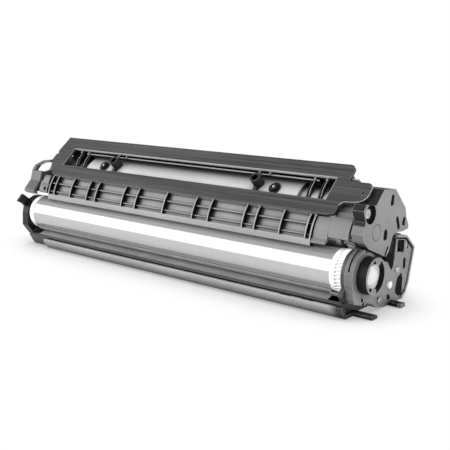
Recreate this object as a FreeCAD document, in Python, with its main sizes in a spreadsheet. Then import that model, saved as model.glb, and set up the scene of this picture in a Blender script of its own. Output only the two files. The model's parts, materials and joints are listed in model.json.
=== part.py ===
import FreeCAD, Part
import Sketcher
import math
import os
import re
from types import SimpleNamespace
from FreeCAD import Placement, Rotation, Vector

# Toner cartridge: a toner unit hinged on top of a drum unit.
# Everything is laid out from the drum axis: X along the drum (drive end at +X),
# Y to the back, Z up. The finished part stands on its flat underside, with the
# origin under the middle of its box.

DIMENSIONS = {
    # drum and its end flanges
    "drum_diameter": 30.0,
    "drum_length": 315.0,
    "drum_wall": 0.8,
    "spigot_gap": 0.05,
    "flange_ring": 3.5,
    "left_flange_width": 6.0,
    "journal_diameter": 22.2,
    "running_gap": 0.06,
    "end_play": 0.5,
    # gears
    "gear_module": 0.8,
    "gear_width": 5.5,
    "drum_teeth": 36,
    "developer_teeth": 22,
    "agitator_teeth": 32,
    "helix_angle": 15.0,
    "gear_backlash": 0.16,
    "mesh_slack": 0.1,
    # drum unit
    "axis_height": 28.2,
    "frame_wall": 2.0,
    "end_wall": 3.2,
    "end_plate": 6.0,
    "skirt_radius": 17.0,
    "hub_diameter": 25.1,
    "hub_wall": 1.35,
    "hub_length": 7.7,
    "bracket_width": 8.0,
    "bracket_radius": 16.4,
    "spike_reach": 22.0,
    "drum_pin_diameter": 6.0,
    "drum_pin_reach": 6.0,
    "drum_pin_tip": 5.5,
    "bin_top": 1.4,
    "bin_back": 66.5,
    "rim_step": 2.7,
    "rail_depth": 3.2,
    "prong_reach": 10.3,
    "hinge_back": 56.7,
    "hinge_height": 9.3,
    "hinge_pin_diameter": 4.0,
    "hinge_lug_radius": 4.4,
    "spring_place": 63.4,
    "spring_radius": 1.75,
    "spring_wire": 0.3,
    "ear_height": 11.6,
    # charge roller and cleaning blade
    "charge_diameter": 12.0,
    "charge_shaft_diameter": 6.0,
    "charge_length": 308.0,
    "charge_gap": 0.3,
    "charge_angle": -8.0,
    "charge_block_seat": 4.6,
    "blade_thickness": 2.0,
    "blade_length": 310.0,
    # toner unit
    "hopper_diameter": 44.0,
    "hopper_wall": 2.0,
    "hopper_length": 310.0,
    "hopper_step": 3.0,
    "raised_length": 225.0,
    "sleeve_diameter": 16.0,
    "sleeve_wall": 1.0,
    "sleeve_length": 304.0,
    "development_gap": 0.3,
    "developer_angle": 66.0,
    "agitator_angle": 23.3,
    "roller_shaft_diameter": 6.0,
    "spacer_width": 3.6,
    "bearing_width": 4.0,
    "magnet_diameter": 12.6,
    "agitator_diameter": 8.0,
    "coupling_depth": 4.0,
    "coupling_rise": 1.1,
    "cover_length": 15.7,
    "cover_plate": 6.0,
    "cover_wall": 2.0,
    "recess_diameter": 13.2,
    "recess_depth": 3.4,
    # windowed top plate, measured in its own tilted plane
    "plate_tilt": 43.3,
    "plate_height": 27.7,
    "plate_thickness": 2.2,
    "plate_front": 23.8,
    "plate_back": 67.2,
    "plate_left": 158.7,
    "plate_right": 149.5,
    "flap_reach": 169.4,
    "flap_top": 53.2,
    "flap_bottom": 36.0,
    "window_front": 35.6,
    "window_back": 55.1,
    "window_length": 279.2,
    "rail_height": 24.0,
    "rail_place": 53.0,
    "rib_thickness": 1.1,
    "boss_diameter": 8.4,
    "boss_bore": 5.4,
    "boss_top": 31.6,
    "boss_spacing": 152.2,
    "screw_spacing": 183.2,
    "screw_place": 42.3,
    "screw_drop": 3.7,
    "screw_head": 6.2,
    "screw_washer": 9.2,
    # ribbed paper guide on the front
    "guide_tilt": 62.8,
    "guide_depth": 17.2,
    "guide_wall": 1.8,
    "fin_depth": 2.6,
    "fin_bulge": 1.15,
    "rib_rise": 0.9,
    "guide_length": 280.7,
    "guide_shift": -1.65,
    "strip_width": 11.3,
    "panel_seam": 0.4,
    "left_panel_gap": 3.5,
    "left_panel_width": 10.5,
    "cheek_width": 13.8,
    "cover_overlap": 5.6,
}

doc = FreeCAD.newDocument("TonerCartridge")
sheet = doc.addObject("Spreadsheet::Sheet", "Dimensions")
for row, (alias, number) in enumerate(DIMENSIONS.items(), start=1):
    sheet.set(f"A{row}", alias)
    sheet.set(f"B{row}", str(number))
    sheet.setAlias(f"B{row}", alias)
doc.recompute()
d = SimpleNamespace(**{alias: float(sheet.get(alias)) for alias in DIMENSIONS})


def linked(formula):
    """The formula with every dimension's name pointing into the sheet."""
    return re.sub(
        r"[a-z_]{3,}",
        lambda word: f"Dimensions.{word.group()}" if word.group() in DIMENSIONS else word.group(),
        str(formula),
    )


def value(formula):
    """The number that a formula of dimension names comes to."""
    return float(sheet.evalExpression(linked(formula)))


# stations along the drum, as formulas of the driving dimensions
DRUM_END = "drum_length / 2"
GEAR_START = f"{DRUM_END} + flange_ring"
GEAR_END = f"{GEAR_START} + gear_width"
WALL_START = f"{GEAR_END} + end_play"
PLATE_START = f"{WALL_START} + end_wall"
PLATE_FACE = f"{PLATE_START} + end_plate"
HUB_FACE = f"{PLATE_FACE} + hub_length"
FLANGE_END = f"{DRUM_END} + left_flange_width"
BRACKET_START = f"{FLANGE_END} + end_play"
BRACKET_FACE = f"{BRACKET_START} + bracket_width"
COVER_FACE = PLATE_FACE
COVER_START = f"{COVER_FACE} - cover_length"
COVER_PLATE = f"{COVER_FACE} - cover_plate"
HOPPER_END = "hopper_length / 2"
GUIDE_START = "guide_shift - guide_length / 2"
GUIDE_END = "guide_shift + guide_length / 2"
STRIP_START = f"{GUIDE_END} + panel_seam"
STRIP_END = f"{STRIP_START} + strip_width"
PANEL_START = f"{STRIP_END} + panel_seam"
PANEL_END = f"{COVER_START} + cover_overlap"
LEFT_PANEL_END = f"{GUIDE_START} - left_panel_gap"
LEFT_PANEL_START = f"{LEFT_PANEL_END} - left_panel_width"

# places in the cross-section, as (back, up) from the drum axis
drum_radius = d.drum_diameter / 2
sleeve_radius = d.sleeve_diameter / 2
charge_radius = d.charge_diameter / 2
hopper_radius = d.hopper_diameter / 2


def polar(centre, radius, angle):
    """The point at a radius and an angle, in degrees from the back, about a centre."""
    turn = math.radians(angle)
    return (centre[0] + radius * math.cos(turn), centre[1] + radius * math.sin(turn))


DRUM_AXIS = (0.0, 0.0)
SLEEVE_AXIS = polar(DRUM_AXIS, drum_radius + d.development_gap + sleeve_radius, d.developer_angle)
CHARGE_AXIS = polar(DRUM_AXIS, drum_radius + d.charge_gap + charge_radius, d.charge_angle)
gear_reach = d.gear_module * (d.developer_teeth + d.agitator_teeth) / 2 + d.mesh_slack
HOPPER_AXIS = polar(SLEEVE_AXIS, gear_reach, d.agitator_angle)
HINGE = (d.hinge_back, d.hinge_height)
floor = -d.axis_height

plate_under = d.plate_height - d.plate_thickness
screw_seat = d.plate_height - d.screw_drop

# the finished part's origin lies under the middle of its box
left_reach = value(f"{BRACKET_FACE} + drum_pin_reach")
right_reach = value(f"{PLATE_FACE} + prong_reach")
rim_back = d.bin_back + d.rim_step
front_reach = d.spike_reach
ORIGIN = Vector((left_reach - right_reach) / 2, (front_reach - rim_back) / 2, -floor)


def placed(centre=DRUM_AXIS, tilt=0.0):
    """The placement of a piece that is drawn about a centre of the cross-section."""
    return Placement(ORIGIN + Vector(0, *centre), Rotation(Vector(1, 0, 0), tilt))


PIECES = []


def new_body(name, centre=DRUM_AXIS, tilt=0.0):
    body = doc.addObject("PartDesign::Body", name)
    body.Label = name
    body.Placement = placed(centre, tilt)
    PIECES.append(body)
    return body


def new_feature(name, shape, centre=DRUM_AXIS, tilt=0.0):
    feature = doc.addObject("Part::Feature", name)
    feature.Label = name
    feature.Shape = shape
    feature.Placement = placed(centre, tilt)
    PIECES.append(feature)
    return feature


def new_sketch(body, name, role="YZ_Plane", offset="0"):
    """A sketch on one of the body's own planes, moved along its normal by a formula."""
    sketch = body.newObject("Sketcher::SketchObject", name)
    plane = next(item for item in body.Origin.OriginFeatures if item.Role == role)
    sketch.AttachmentSupport = (plane, "")
    sketch.MapMode = "FlatFace"
    if offset is not None:
        sketch.setExpression(".AttachmentOffset.Base.z", linked(offset))
    return sketch


def draw(sketch, outline):
    """Draw a closed outline of points. An entry (through, end) is an arc to its end."""
    # an outline that closes with an arc may name its first point twice
    start = outline[-1] if not isinstance(outline[-1][0], tuple) else outline[-1][1]
    for entry in outline:
        if isinstance(entry[0], tuple):
            through, end = entry
            arc = Part.Arc(Vector(*start, 0), Vector(*through, 0), Vector(*end, 0))
            sketch.addGeometry(arc, False)
        else:
            end = entry
            if math.dist(start, end) > 1e-6:
                sketch.addGeometry(Part.LineSegment(Vector(*start, 0), Vector(*end, 0)), False)
        start = end


def rectangle(low, high):
    return [low, (high[0], low[1]), high, (low[0], high[1])]


def add_circle(sketch, centre, radius):
    """A circle whose radius is tied to a formula."""
    index = sketch.addGeometry(Part.Circle(Vector(*centre, 0), Vector(0, 0, 1), value(radius)), False)
    constraint = sketch.addConstraint(Sketcher.Constraint("Radius", index, value(radius)))
    sketch.setExpression(f"Constraints[{constraint}]", linked(radius))


def extrude(body, kind, name, sketch, length):
    feature = body.newObject(f"PartDesign::{kind}", name)
    feature.Profile = sketch
    feature.setExpression("Length", linked(length))
    sketch.Visibility = False
    return feature


def slab(body, name, outline, start, end):
    """A pad of an outline of the cross-section, from one station to another."""
    sketch = new_sketch(body, f"{name}Outline", offset=start)
    draw(sketch, outline)
    return extrude(body, "Pad", name, sketch, f"({end}) - ({start})")


def disc(body, name, centre, radius, start, end):
    sketch = new_sketch(body, f"{name}Circle", offset=start)
    add_circle(sketch, centre, radius)
    return extrude(body, "Pad", name, sketch, f"({end}) - ({start})")


def cut_away(body, name, outlines, start, end):
    """Remove outlines of the cross-section between two stations."""
    sketch = new_sketch(body, f"{name}Outline", offset=end)
    for outline in outlines:
        draw(sketch, outline)
    return extrude(body, "Pocket", name, sketch, f"({end}) - ({start})")


def bore(body, name, centres, radius, start, end):
    """Drill round holes of one radius between two stations."""
    sketch = new_sketch(body, f"{name}Circles", offset=end)
    for centre in centres:
        add_circle(sketch, centre, radius)
    return extrude(body, "Pocket", name, sketch, f"({end}) - ({start})")


def turn_profile(body, kind, name, points):
    """A revolved or grooved profile of (station, radius) points about the X axis."""
    sketch = new_sketch(body, f"{name}Profile", role="XY_Plane")
    draw(sketch, points)
    feature = body.newObject(f"PartDesign::{kind}", name)
    feature.Profile = sketch
    feature.ReferenceAxis = (sketch, ["H_Axis"])
    feature.Angle = 360
    sketch.Visibility = False
    return feature


def tube(start, end, outer, inner=0.0, centre=(0.0, 0.0)):
    """A plain tube or rod along X as a shape, for pieces that come in sets."""
    base = Vector(value(start), *centre)
    length = value(end) - value(start)
    rod = Part.makeCylinder(outer, length, base, Vector(1, 0, 0))
    if inner <= 0:
        return rod
    return rod.cut(Part.makeCylinder(inner, length, base, Vector(1, 0, 0)))


def mirrored(shape):
    """The same shape at the other end of the cartridge."""
    return shape.mirror(Vector(0, 0, 0), Vector(1, 0, 0))


def both_ends(shape):
    return Part.makeCompound([shape, mirrored(shape)])


def plate_point(along, height):
    """A cross-section point given along and above the top plate's tilted plane."""
    turn = math.radians(d.plate_tilt)
    return (
        along * math.cos(turn) - height * math.sin(turn),
        along * math.sin(turn) + height * math.cos(turn),
    )


def guide_point(along, height):
    """A cross-section point given along and above the paper guide's tilted plane."""
    turn = math.radians(d.guide_tilt)
    return (
        along * math.cos(turn) - height * math.sin(turn),
        along * math.sin(turn) + height * math.cos(turn),
    )


def arc_between(centre, radius, start, end):
    """An outline's arc about a centre from one angle to another."""
    return (polar(centre, radius, (start + end) / 2), polar(centre, radius, end))


# Gears

def gear_wire(teeth, phase, station, thinning):
    """One closed gear section, with three points of an involute to each flank."""
    pitch = d.gear_module * teeth / 2
    base = pitch * math.cos(math.radians(20))
    tip = pitch + d.gear_module
    root = pitch - 1.2 * d.gear_module
    half_pitch_tooth = math.pi / (2 * teeth) - thinning / (2 * pitch)

    def involute(radius):
        if radius <= base:
            return 0.0
        pressure = math.acos(base / radius)
        return math.tan(pressure) - pressure

    flank = [root, pitch, tip]
    half_angles = [half_pitch_tooth + involute(pitch) - involute(radius) for radius in flank]
    points = []
    for tooth in range(teeth):
        middle = math.radians(phase) + 2 * math.pi * tooth / teeth
        sides = [(radius, middle - half) for radius, half in zip(flank, half_angles)]
        sides += [(radius, middle + half) for radius, half in zip(flank[::-1], half_angles[::-1])]
        points += [
            Vector(station, radius * math.cos(angle), radius * math.sin(angle))
            for radius, angle in sides
        ]
    return Part.makePolygon(points + [points[0]])


def helical_gear(teeth, phase, hand, start, end, bore_radius):
    """A helical gear about X between two stations, with a round bore."""
    teeth = int(teeth)
    width = end - start
    twist = math.degrees(width * math.tan(math.radians(d.helix_angle)) / (d.gear_module * teeth / 2))
    first = gear_wire(teeth, phase, start, d.gear_backlash)
    last = gear_wire(teeth, phase + hand * twist, end, d.gear_backlash)
    blank = Part.makeLoft([first, last], True, True)
    if bore_radius <= 0:
        return blank
    return blank.cut(Part.makeCylinder(bore_radius, width, Vector(start, 0, 0), Vector(1, 0, 0)))


def meshed_phase(phase, teeth, direction, other_teeth):
    """The phase of a gear that meshes with a first one that lies behind a direction."""
    return direction + 180 - (phase - direction) * teeth / other_teeth + 180 / other_teeth


drum_phase = d.developer_angle
developer_phase = meshed_phase(drum_phase, d.drum_teeth, d.developer_angle, d.developer_teeth)
agitator_phase = meshed_phase(
    developer_phase, d.developer_teeth, d.agitator_angle, d.agitator_teeth
)


# Drum unit: the rotating drum

def build_drum():
    tube_body = new_body("drum_tube")
    disc(tube_body, "Tube", DRUM_AXIS, "drum_diameter / 2", f"-({DRUM_END})", DRUM_END)
    bore(tube_body, "TubeBore", [DRUM_AXIS], "drum_diameter / 2 - drum_wall",
         f"-({DRUM_END})", DRUM_END)

    # white drive flange: spigot, smooth ring, helical gear, journal and coupling
    spigot = drum_radius - d.drum_wall
    journal = d.journal_diameter / 2
    face = f"{HUB_FACE} - coupling_depth"
    flange = tube(f"{DRUM_END} - 12", DRUM_END, spigot - d.spigot_gap, spigot - 2.2)
    flange = flange.fuse(tube(DRUM_END, GEAR_START, drum_radius - 0.1, 6))
    flange = flange.fuse(
        helical_gear(d.drum_teeth, drum_phase, 1, value(GEAR_START), value(GEAR_END), 6)
    )
    flange = flange.fuse(tube(GEAR_END, face, journal, 6))
    flange = flange.fuse(tube(f"{face} - 3", face, journal - 1))
    flange = flange.fuse(twisted_coupling(value(face), d.coupling_rise))
    new_feature("drum_gear_flange", flange.removeSplitter())


def twisted_coupling(start, rise):
    """The three-cornered prism that the machine's drive grips, twisted as it rises."""
    sections = []
    for share in (0, 0.5, 1):
        corners = [
            polar(DRUM_AXIS, 7.2, 90 + 120 * corner + 12 * share + side)
            for corner in range(3) for side in (-14, 14)
        ]
        points = [Vector(start + rise * share, *corner) for corner in corners]
        sections.append(Part.makePolygon(points + [points[0]]))
    return Part.makeLoft(sections, True, True)


def build_left_flange():
    spigot = drum_radius - d.drum_wall
    pin = d.drum_pin_diameter / 2
    end = -value(FLANGE_END)
    drum_end = -value(DRUM_END)
    flange = new_body("drum_left_flange")
    inner = pin + d.running_gap
    turn_profile(flange, "Revolution", "Flange", [
        (end, inner), (end, drum_radius - 2.0), (end + 0.6, drum_radius - 0.1),
        (drum_end, drum_radius - 0.1), (drum_end, spigot - d.spigot_gap),
        (drum_end + 10, spigot - d.spigot_gap), (drum_end + 10, spigot - 2.0), (drum_end - 2.5, spigot - 2.0), (drum_end - 2.5, pin + 2.5),
        (drum_end + 4, pin + 2.5), (drum_end + 4, inner),
    ])
    groove = drum_radius - 3.2
    turn_profile(flange, "Groove", "FaceGroove", [
        (end - 1, pin + 4), (end - 1, groove), (end + 1.6, groove), (end + 1.6, pin + 4),
    ])

    # the pin's thinner tip stands out of the bracket and sits in the machine
    tip = d.drum_pin_tip / 2
    shoulder = -value(BRACKET_FACE)
    axle = new_body("drum_pin")
    turn_profile(axle, "Revolution", "Axle", [
        (-left_reach, 0), (-left_reach, tip - 0.5), (-left_reach + 0.5, tip), (shoulder, tip),
        (shoulder, pin), (drum_end + 5.5, pin), (drum_end + 6, pin - 0.5), (drum_end + 6, 0),
    ])

    contact = new_body("drum_ground_strip")
    strip_start = value(f"-({DRUM_END}) + 4.4")
    strip = rectangle((-(spigot - 3.3), -5.0), (spigot - 3.3, 5.0))
    slab(contact, "Strip", strip, strip_start, strip_start + 0.4)
    bore(contact, "StripHole", [DRUM_AXIS], "drum_pin_diameter / 2 + 0.3", strip_start, strip_start + 0.4)


# Drum unit: the fixed frame

def frame_outline():
    """Side view of the waste toner bin below and behind the drum, open to the drum."""
    wall = d.frame_wall
    top = d.bin_top
    back = d.bin_back
    return [
        (-14.0, -17.2), (-15.6, -18.4), (-14.8, -20.4), (-11.5, floor + 2.2), (-9.5, floor),
        (52.9, floor), (60.4, -20.2), (back, top - 0.8), (back - 0.8, top), (29.0, top),
        (29.0, -11.0), (24.5, -13.2), (24.5, -16.0), (27.0, -16.0), (29.0 + wall, -12.4),
        (29.0 + wall, top - wall), (back - 2.7, top - wall), (58.7, -19.4),
        (52.0, floor + wall), (-8.4, floor + wall), (-12.4, -20.0), (-11.9, -18.6),
    ]


def end_wall_outline(front, rim):
    """Side view of an end wall behind a front: a flat foot and an arm up at the back."""
    return front + [
        (50.0, floor + 0.4), (56.2 + rim, -24.4), (59.6 + rim, -18.0), (66.8 + rim, 7.0),
        (54.6 + rim, 17.2), (40.1, 19.6), (39.0, 5.0), (36.6, -2.5), (30.0, 2.4),
        polar(DRUM_AXIS, 14.6, 32),
    ]


def raised_front(radius, flare):
    """The drive end's front: round about the drum, then a step up from the floor."""
    return [
        polar(DRUM_AXIS, 14.6, 32), arc_between(DRUM_AXIS, 14.6, 32, 96), polar(DRUM_AXIS, radius, 96),
        arc_between(DRUM_AXIS, radius, 96, 205), *flare, (-0.6, -20.9), (2.8, -19.8),
        (10.1, -22.2), (15.3, -26.0), (25.4, floor), (45.0, floor),
    ]


def bin_end_outline():
    """Side view of the walls that close the bin, hollow about the drum."""
    clear = drum_radius + 1.2
    return [
        (-14.0, -17.2), (-15.6, -18.4), (-14.8, -20.4), (-11.5, floor + 2.2), (-9.5, floor),
        (52.9, floor), (60.4, -20.2), (d.bin_back, d.bin_top - 0.8), (d.bin_back - 0.8, d.bin_top),
        (29.0, d.bin_top), (29.0, -11.0), (24.5, -13.2), (24.5, -16.2), polar(DRUM_AXIS, clear, 300),
        arc_between(DRUM_AXIS, clear, 300, 240),
    ]


def build_frame():
    frame = new_body("drum_frame")
    slab(frame, "Bin", frame_outline(), f"-({BRACKET_START})", WALL_START)
    slab(frame, "DriveEnd", bin_end_outline(), f"{WALL_START} - frame_wall", WALL_START)
    slab(frame, "IdleEnd", bin_end_outline(), f"-({BRACKET_START})", f"-({BRACKET_START}) + frame_wall")
    flare = [(-18.9, -11.0), (-18.8, -12.3), (-13.0, -18.0)]
    drive_wall = end_wall_outline(raised_front(d.skirt_radius - 0.8, flare), d.rim_step - 0.3)
    slab(frame, "DriveWall", drive_wall, WALL_START, PLATE_START)
    bore(frame, "DriveWallBore", [DRUM_AXIS], "journal_diameter / 2 + 1", WALL_START, PLATE_START)
    bore(frame, "HingeHole", [HINGE], "hinge_pin_diameter / 2 + 0.02", WALL_START, PLATE_START)
    # stiffening ribs across the bin floor's front, just behind the lip
    for number, station in enumerate((-110, -55, 0, 55, 110)):
        rib = [(-12.2, -20.4), (-8.2, floor + 1.0), (14.0, floor + 1.0), (12.0, -22.5), (-4.0, -20.0)]
        slab(frame, f"Rib{number}", rib, station - 0.8, station + 0.8)
    # ledges that carry the charge roller's sliding bearing blocks
    ledge_top = CHARGE_AXIS[1] - d.charge_block_seat
    ledge = rectangle((16.6, ledge_top - 3.0), (29.4, ledge_top))
    ledge_start = "charge_length / 2 + 0.8"
    slab(frame, "DriveLedge", ledge, ledge_start, WALL_START)
    slab(frame, "IdleLedge", ledge, f"-({BRACKET_START})", f"-({ledge_start})")

    rail = new_body("lower_guide_rail")
    depth = d.rail_depth
    outline = [
        (-15.4, -21.0), (-12.2, floor + 2.0), (-9.6, floor), (-13.6, floor),
        (-15.0, floor + 1.4), (-15.0 - depth, -21.6), (-15.0 - depth, -20.2), (-16.4, -19.6),
    ]
    slab(rail, "Rail", outline, -140, PLATE_START)
    slab(rail, "ProngFoot", rectangle((-13.6, floor), (2.3, floor + 2.2)), WALL_START, PLATE_START)
    slab(rail, "FrontProng", rectangle((-4.5, floor), (2.3, floor + 2.2)), PLATE_START,
         f"{PLATE_FACE} + prong_reach - 1.9")
    notch = [rectangle((-40, -19.9), (-10, -18.0))]
    for number, station in enumerate((120, 138)):
        cut_away(rail, f"Notch{number}", notch, station, station + 9)


def build_drive_housing():
    housing = new_body("right_bearing_housing")
    front = raised_front(d.skirt_radius, [(-14.6, -13.8), (-12.3, -17.4)])
    slab(housing, "Plate", end_wall_outline(front, -0.4), PLATE_START, PLATE_FACE)
    prong = rectangle((31.0, floor), (37.0, floor + 2.6))
    slab(housing, "RearProng", prong, PLATE_START, f"{PLATE_FACE} + prong_reach")
    disc(housing, "Hub", DRUM_AXIS, "hub_diameter / 2", PLATE_FACE, HUB_FACE)
    bore(housing, "HubBore", [DRUM_AXIS], "journal_diameter / 2 + running_gap", PLATE_START, HUB_FACE)
    inner = value("journal_diameter / 2 + running_gap")
    for number, angle in enumerate((78, 254)):
        lug = [
            polar(DRUM_AXIS, inner + 1.0, angle - 17), polar(DRUM_AXIS, 8.4, angle - 19),
            polar(DRUM_AXIS, 8.4, angle + 19), polar(DRUM_AXIS, inner + 1.0, angle + 17),
        ]
        slab(housing, f"Lug{number}", lug, f"{HUB_FACE} - 1.8", HUB_FACE)
    # curved slot round the front of the drum bearing
    slot_middle = d.skirt_radius
    slot = [
        polar(DRUM_AXIS, slot_middle - 1.8, 98), polar(DRUM_AXIS, slot_middle + 3, 98),
        arc_between(DRUM_AXIS, slot_middle + 3, 98, 165), polar(DRUM_AXIS, slot_middle - 1.8, 165),
        arc_between(DRUM_AXIS, slot_middle - 1.8, 165, 98),
    ]
    cut_away(housing, "FrontSlot", [slot], f"{PLATE_START} + 2.0", f"{PLATE_START} + 3.6")
    cut_away(housing, "SquareHoles", [
        [(42.4, 15.8), (41.8, 7.4), (51.6, 5.8), (52.4, 14.2)],
        [(30.4, -21.4), (30.4, -24.4), (34.0, -24.4), (34.0, -21.4)],
    ], f"{PLATE_FACE} - 4", PLATE_FACE)
    teardrop = [
        (44.0, -17.6), (47.3, -9.8), ((49.4, -9.2), (50.6, -11.2)), (51.6, -20.0),
        ((47.6, -25.4), (44.0, -21.2)),
    ]
    cut_away(housing, "Teardrop", [teardrop], f"{PLATE_FACE} - 4.5", PLATE_FACE)
    oval = [(51.6, -1.8), ((53.4, -0.2), (55.0, -1.8)), (55.0, -5.4), ((53.2, -7.0), (51.6, -5.4))]
    cut_away(housing, "Oval", [oval], f"{PLATE_FACE} - 4", PLATE_FACE)
    bore(housing, "HingeHole", [HINGE], "hinge_pin_diameter / 2 + 0.02", PLATE_START, PLATE_FACE)
    bore(housing, "ContactHole", [(31.7, -13.6)], "2.62", PLATE_START, PLATE_FACE)
    bore(housing, "ScrewHoles", [(18.6, -21.4), (42.1, -5.0)], "1.3", PLATE_START, PLATE_FACE)
    bore(housing, "LedgeHole", [(-2.0, -19.0)], "1.7", f"{PLATE_FACE} - 3", PLATE_FACE)


def build_left_bracket():
    bracket = new_body("left_bracket")
    start, end = f"-({BRACKET_FACE})", f"-({BRACKET_START})"
    inner, face = 14.6, d.bracket_radius
    front = [
        polar(DRUM_AXIS, inner, 32), arc_between(DRUM_AXIS, inner, 32, 126), (-face + 1.6, 6.4),
        (-face + 0.4, 0.5), (-face - 0.3, -10.6), (-10.4, -19.2), (2.7, floor + 1.0), (5.0, floor),
        (45.0, floor),
    ]
    slab(bracket, "Plate", end_wall_outline(front, d.rim_step - 0.3), start, end)
    # hooked spike on the outer face, in front of the drum's top
    spike = [
        polar(DRUM_AXIS, inner - 1.0, 126), (-16.3, 17.5), (-d.spike_reach, 11.6), (-17.4, 9.1),
        (-face + 1.6, 6.4), (-face + 3.0, 4.0),
    ]
    slab(bracket, "Spike", spike, start, f"{start} + 3")
    pin_hole = "drum_pin_diameter / 2 + 0.02"
    bore(bracket, "PinHole", [DRUM_AXIS], pin_hole, f"-({BRACKET_FACE})", f"-({BRACKET_START})")
    bore(bracket, "HingeHole", [HINGE], "hinge_pin_diameter / 2 + 0.02",
         f"-({BRACKET_FACE})", f"-({BRACKET_START})")
    bore(bracket, "ScrewHoles", [(18.6, -21.4), (47.0, -14.0)], "1.3",
         f"-({BRACKET_FACE})", f"-({BRACKET_START})")


def build_fixings():
    """Hinge pins, screws and the contact pin of the drum unit."""
    pin = d.hinge_pin_diameter / 2
    right_pin = tube(f"{WALL_START} - 9", f"{PLATE_FACE} - 0.6", pin, centre=HINGE)
    left_pin = tube(f"-({BRACKET_FACE}) + 0.6", f"-({BRACKET_START}) + 12", pin, centre=HINGE)
    new_feature("hinge_pins", Part.makeCompound([right_pin, left_pin]))

    contact = tube(f"{PLATE_START} + 1", f"{PLATE_FACE} + 1.4", 2.6, centre=(31.7, -13.6))
    new_feature("charge_contact_pin", contact)

    screws = []
    for place in ((18.6, -21.4), (42.1, -5.0)):
        screws.append(screw(f"{PLATE_FACE}", place, 2.2, 1.2, 5.0, 1))
    for place in ((18.6, -21.4), (47.0, -14.0)):
        screws.append(screw(f"-({BRACKET_FACE})", place, 2.2, 1.2, 5.0, -1))
    new_feature("housing_screws", Part.makeCompound(screws))


def screw(station, centre, head_radius, shank_radius, length, hand):
    """A round headed cross-recess screw along X, its head on a station."""
    seat = value(station)
    axis = Vector(hand, 0, 0)
    base = Vector(seat, *centre)
    head_height = 1.4
    head = Part.makeCylinder(head_radius, head_height, base, axis)
    rim_edges = [edge for edge in head.Edges
                 if abs(edge.CenterOfMass.x - (seat + hand * head_height)) < 0.01]
    head = head.makeFillet(0.6, rim_edges[:1])
    shank = Part.makeCylinder(shank_radius, length, base, -axis)
    solid = head.fuse(shank)
    for turn in (0, 90):
        slot = Part.makeBox(1.0, 0.7, head_radius * 1.3)
        slot.translate(Vector(0, -0.35, -head_radius * 0.65))
        slot.rotate(Vector(0, 0, 0), Vector(1, 0, 0), turn)
        slot.translate(Vector(seat + hand * head_height - 0.5, *centre))
        solid = solid.cut(slot)
    return solid


# Drum unit: charge roller and cleaning blade

def build_charge_roller():
    shaft = d.charge_shaft_diameter / 2
    half = d.charge_length / 2
    end = value(DRUM_END) + 3.0
    roller = new_body("charge_roller", CHARGE_AXIS)
    turn_profile(roller, "Revolution", "Rubber", [
        (-half, shaft + 0.01), (-half, charge_radius - 0.4), (-half + 0.4, charge_radius),
        (half - 0.4, charge_radius), (half, charge_radius - 0.4), (half, shaft + 0.01),
    ])
    core = new_body("charge_roller_shaft", CHARGE_AXIS)
    turn_profile(core, "Revolution", "Shaft", [
        (-end, 0), (-end, shaft - 0.4), (-end + 0.4, shaft), (end - 0.4, shaft),
        (end, shaft - 0.4), (end, 0),
    ])
    # bearing blocks slide in the frame and are pushed to the drum by coil springs
    block_start = half + 1.5
    seat = CHARGE_AXIS[1] - d.charge_block_seat
    block = Part.makeBox(4.0, 8.0, 6.6, Vector(block_start, CHARGE_AXIS[0] - 4.0, seat))
    groove = Part.makeCylinder(shaft + d.running_gap, 4.0, Vector(block_start, *CHARGE_AXIS),
                               Vector(1, 0, 0))
    mouth = Part.makeBox(4.0, 5.0, 5.0, Vector(block_start, CHARGE_AXIS[0] - 6.0, CHARGE_AXIS[1]))
    new_feature("charge_roller_bearings", both_ends(block.cut(groove).cut(mouth)))
    spring_base = Vector(block_start + 2.0, 29.0, CHARGE_AXIS[1] - 0.6)
    gap = 29.0 - (CHARGE_AXIS[0] + 4.0)
    spring = coil(spring_base, Vector(0, -1, 0), gap - 0.1, 1.9, 0.25, 3)
    new_feature("charge_roller_springs", both_ends(spring))


def coil(base, direction, length, radius, wire, turns):
    """A compression spring that stands on a point along a direction."""
    path = Part.makeHelix((length - 2 * wire) / turns, length - 2 * wire, radius)
    corners = [polar((radius, 0), wire, turn) for turn in range(0, 360, 60)]
    points = [Vector(across, 0, up) for across, up in corners]
    profile = Part.makePolygon(points + [points[0]])
    spring = Part.Wire(path).makePipeShell([profile], True, True)
    spring.translate(Vector(0, 0, wire))
    spring.Placement = Placement(base, Rotation(Vector(0, 0, 1), direction)).multiply(spring.Placement)
    return spring


def build_cleaning_blade():
    half = d.blade_length / 2
    tip = Vector(*polar(DRUM_AXIS, drum_radius + 0.3, -59), 0)
    root = Vector(14.6, -18.9, 0)
    along = (tip - root).normalize()
    across = Vector(-along.y, along.x, 0) * -1
    back = across * -d.blade_thickness
    lip = root + along * 3.5
    bracket = new_body("blade_bracket")
    slab(bracket, "Bracket", flat_points([
        root, lip, lip + across * 1.2, root + across * 1.2 + Vector(0.2, 0.1, 0),
    ]) + [(16.8, -16.0), (27.0, -16.0), (27.0, -17.2), (17.4, -17.2)], -half, half)
    blade = new_body("cleaning_blade")
    slab(blade, "Rubber", flat_points([tip, root, root + back, tip + back]), -half, half)
    screws = []
    for station in (-half + 6, half - 6):
        screws.append(Part.makeCylinder(2.4, 1.4, Vector(station, 22.5, -17.2 - 1.4), Vector(0, 0, 1)))
    new_feature("blade_screws", Part.makeCompound(screws))
    film = new_body("recovery_sheet")
    slab(film, "Film", [
        (-13.6, -17.467), (-12.0, -18.533), (-4.6, -16.15), (-4.6, -15.95), (-12.1, -18.2), (-13.45, -17.2),
    ], -half, half)


def flat_points(vectors):
    return [(vector.x, vector.y) for vector in vectors]


# Toner unit: hopper and lid

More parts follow.
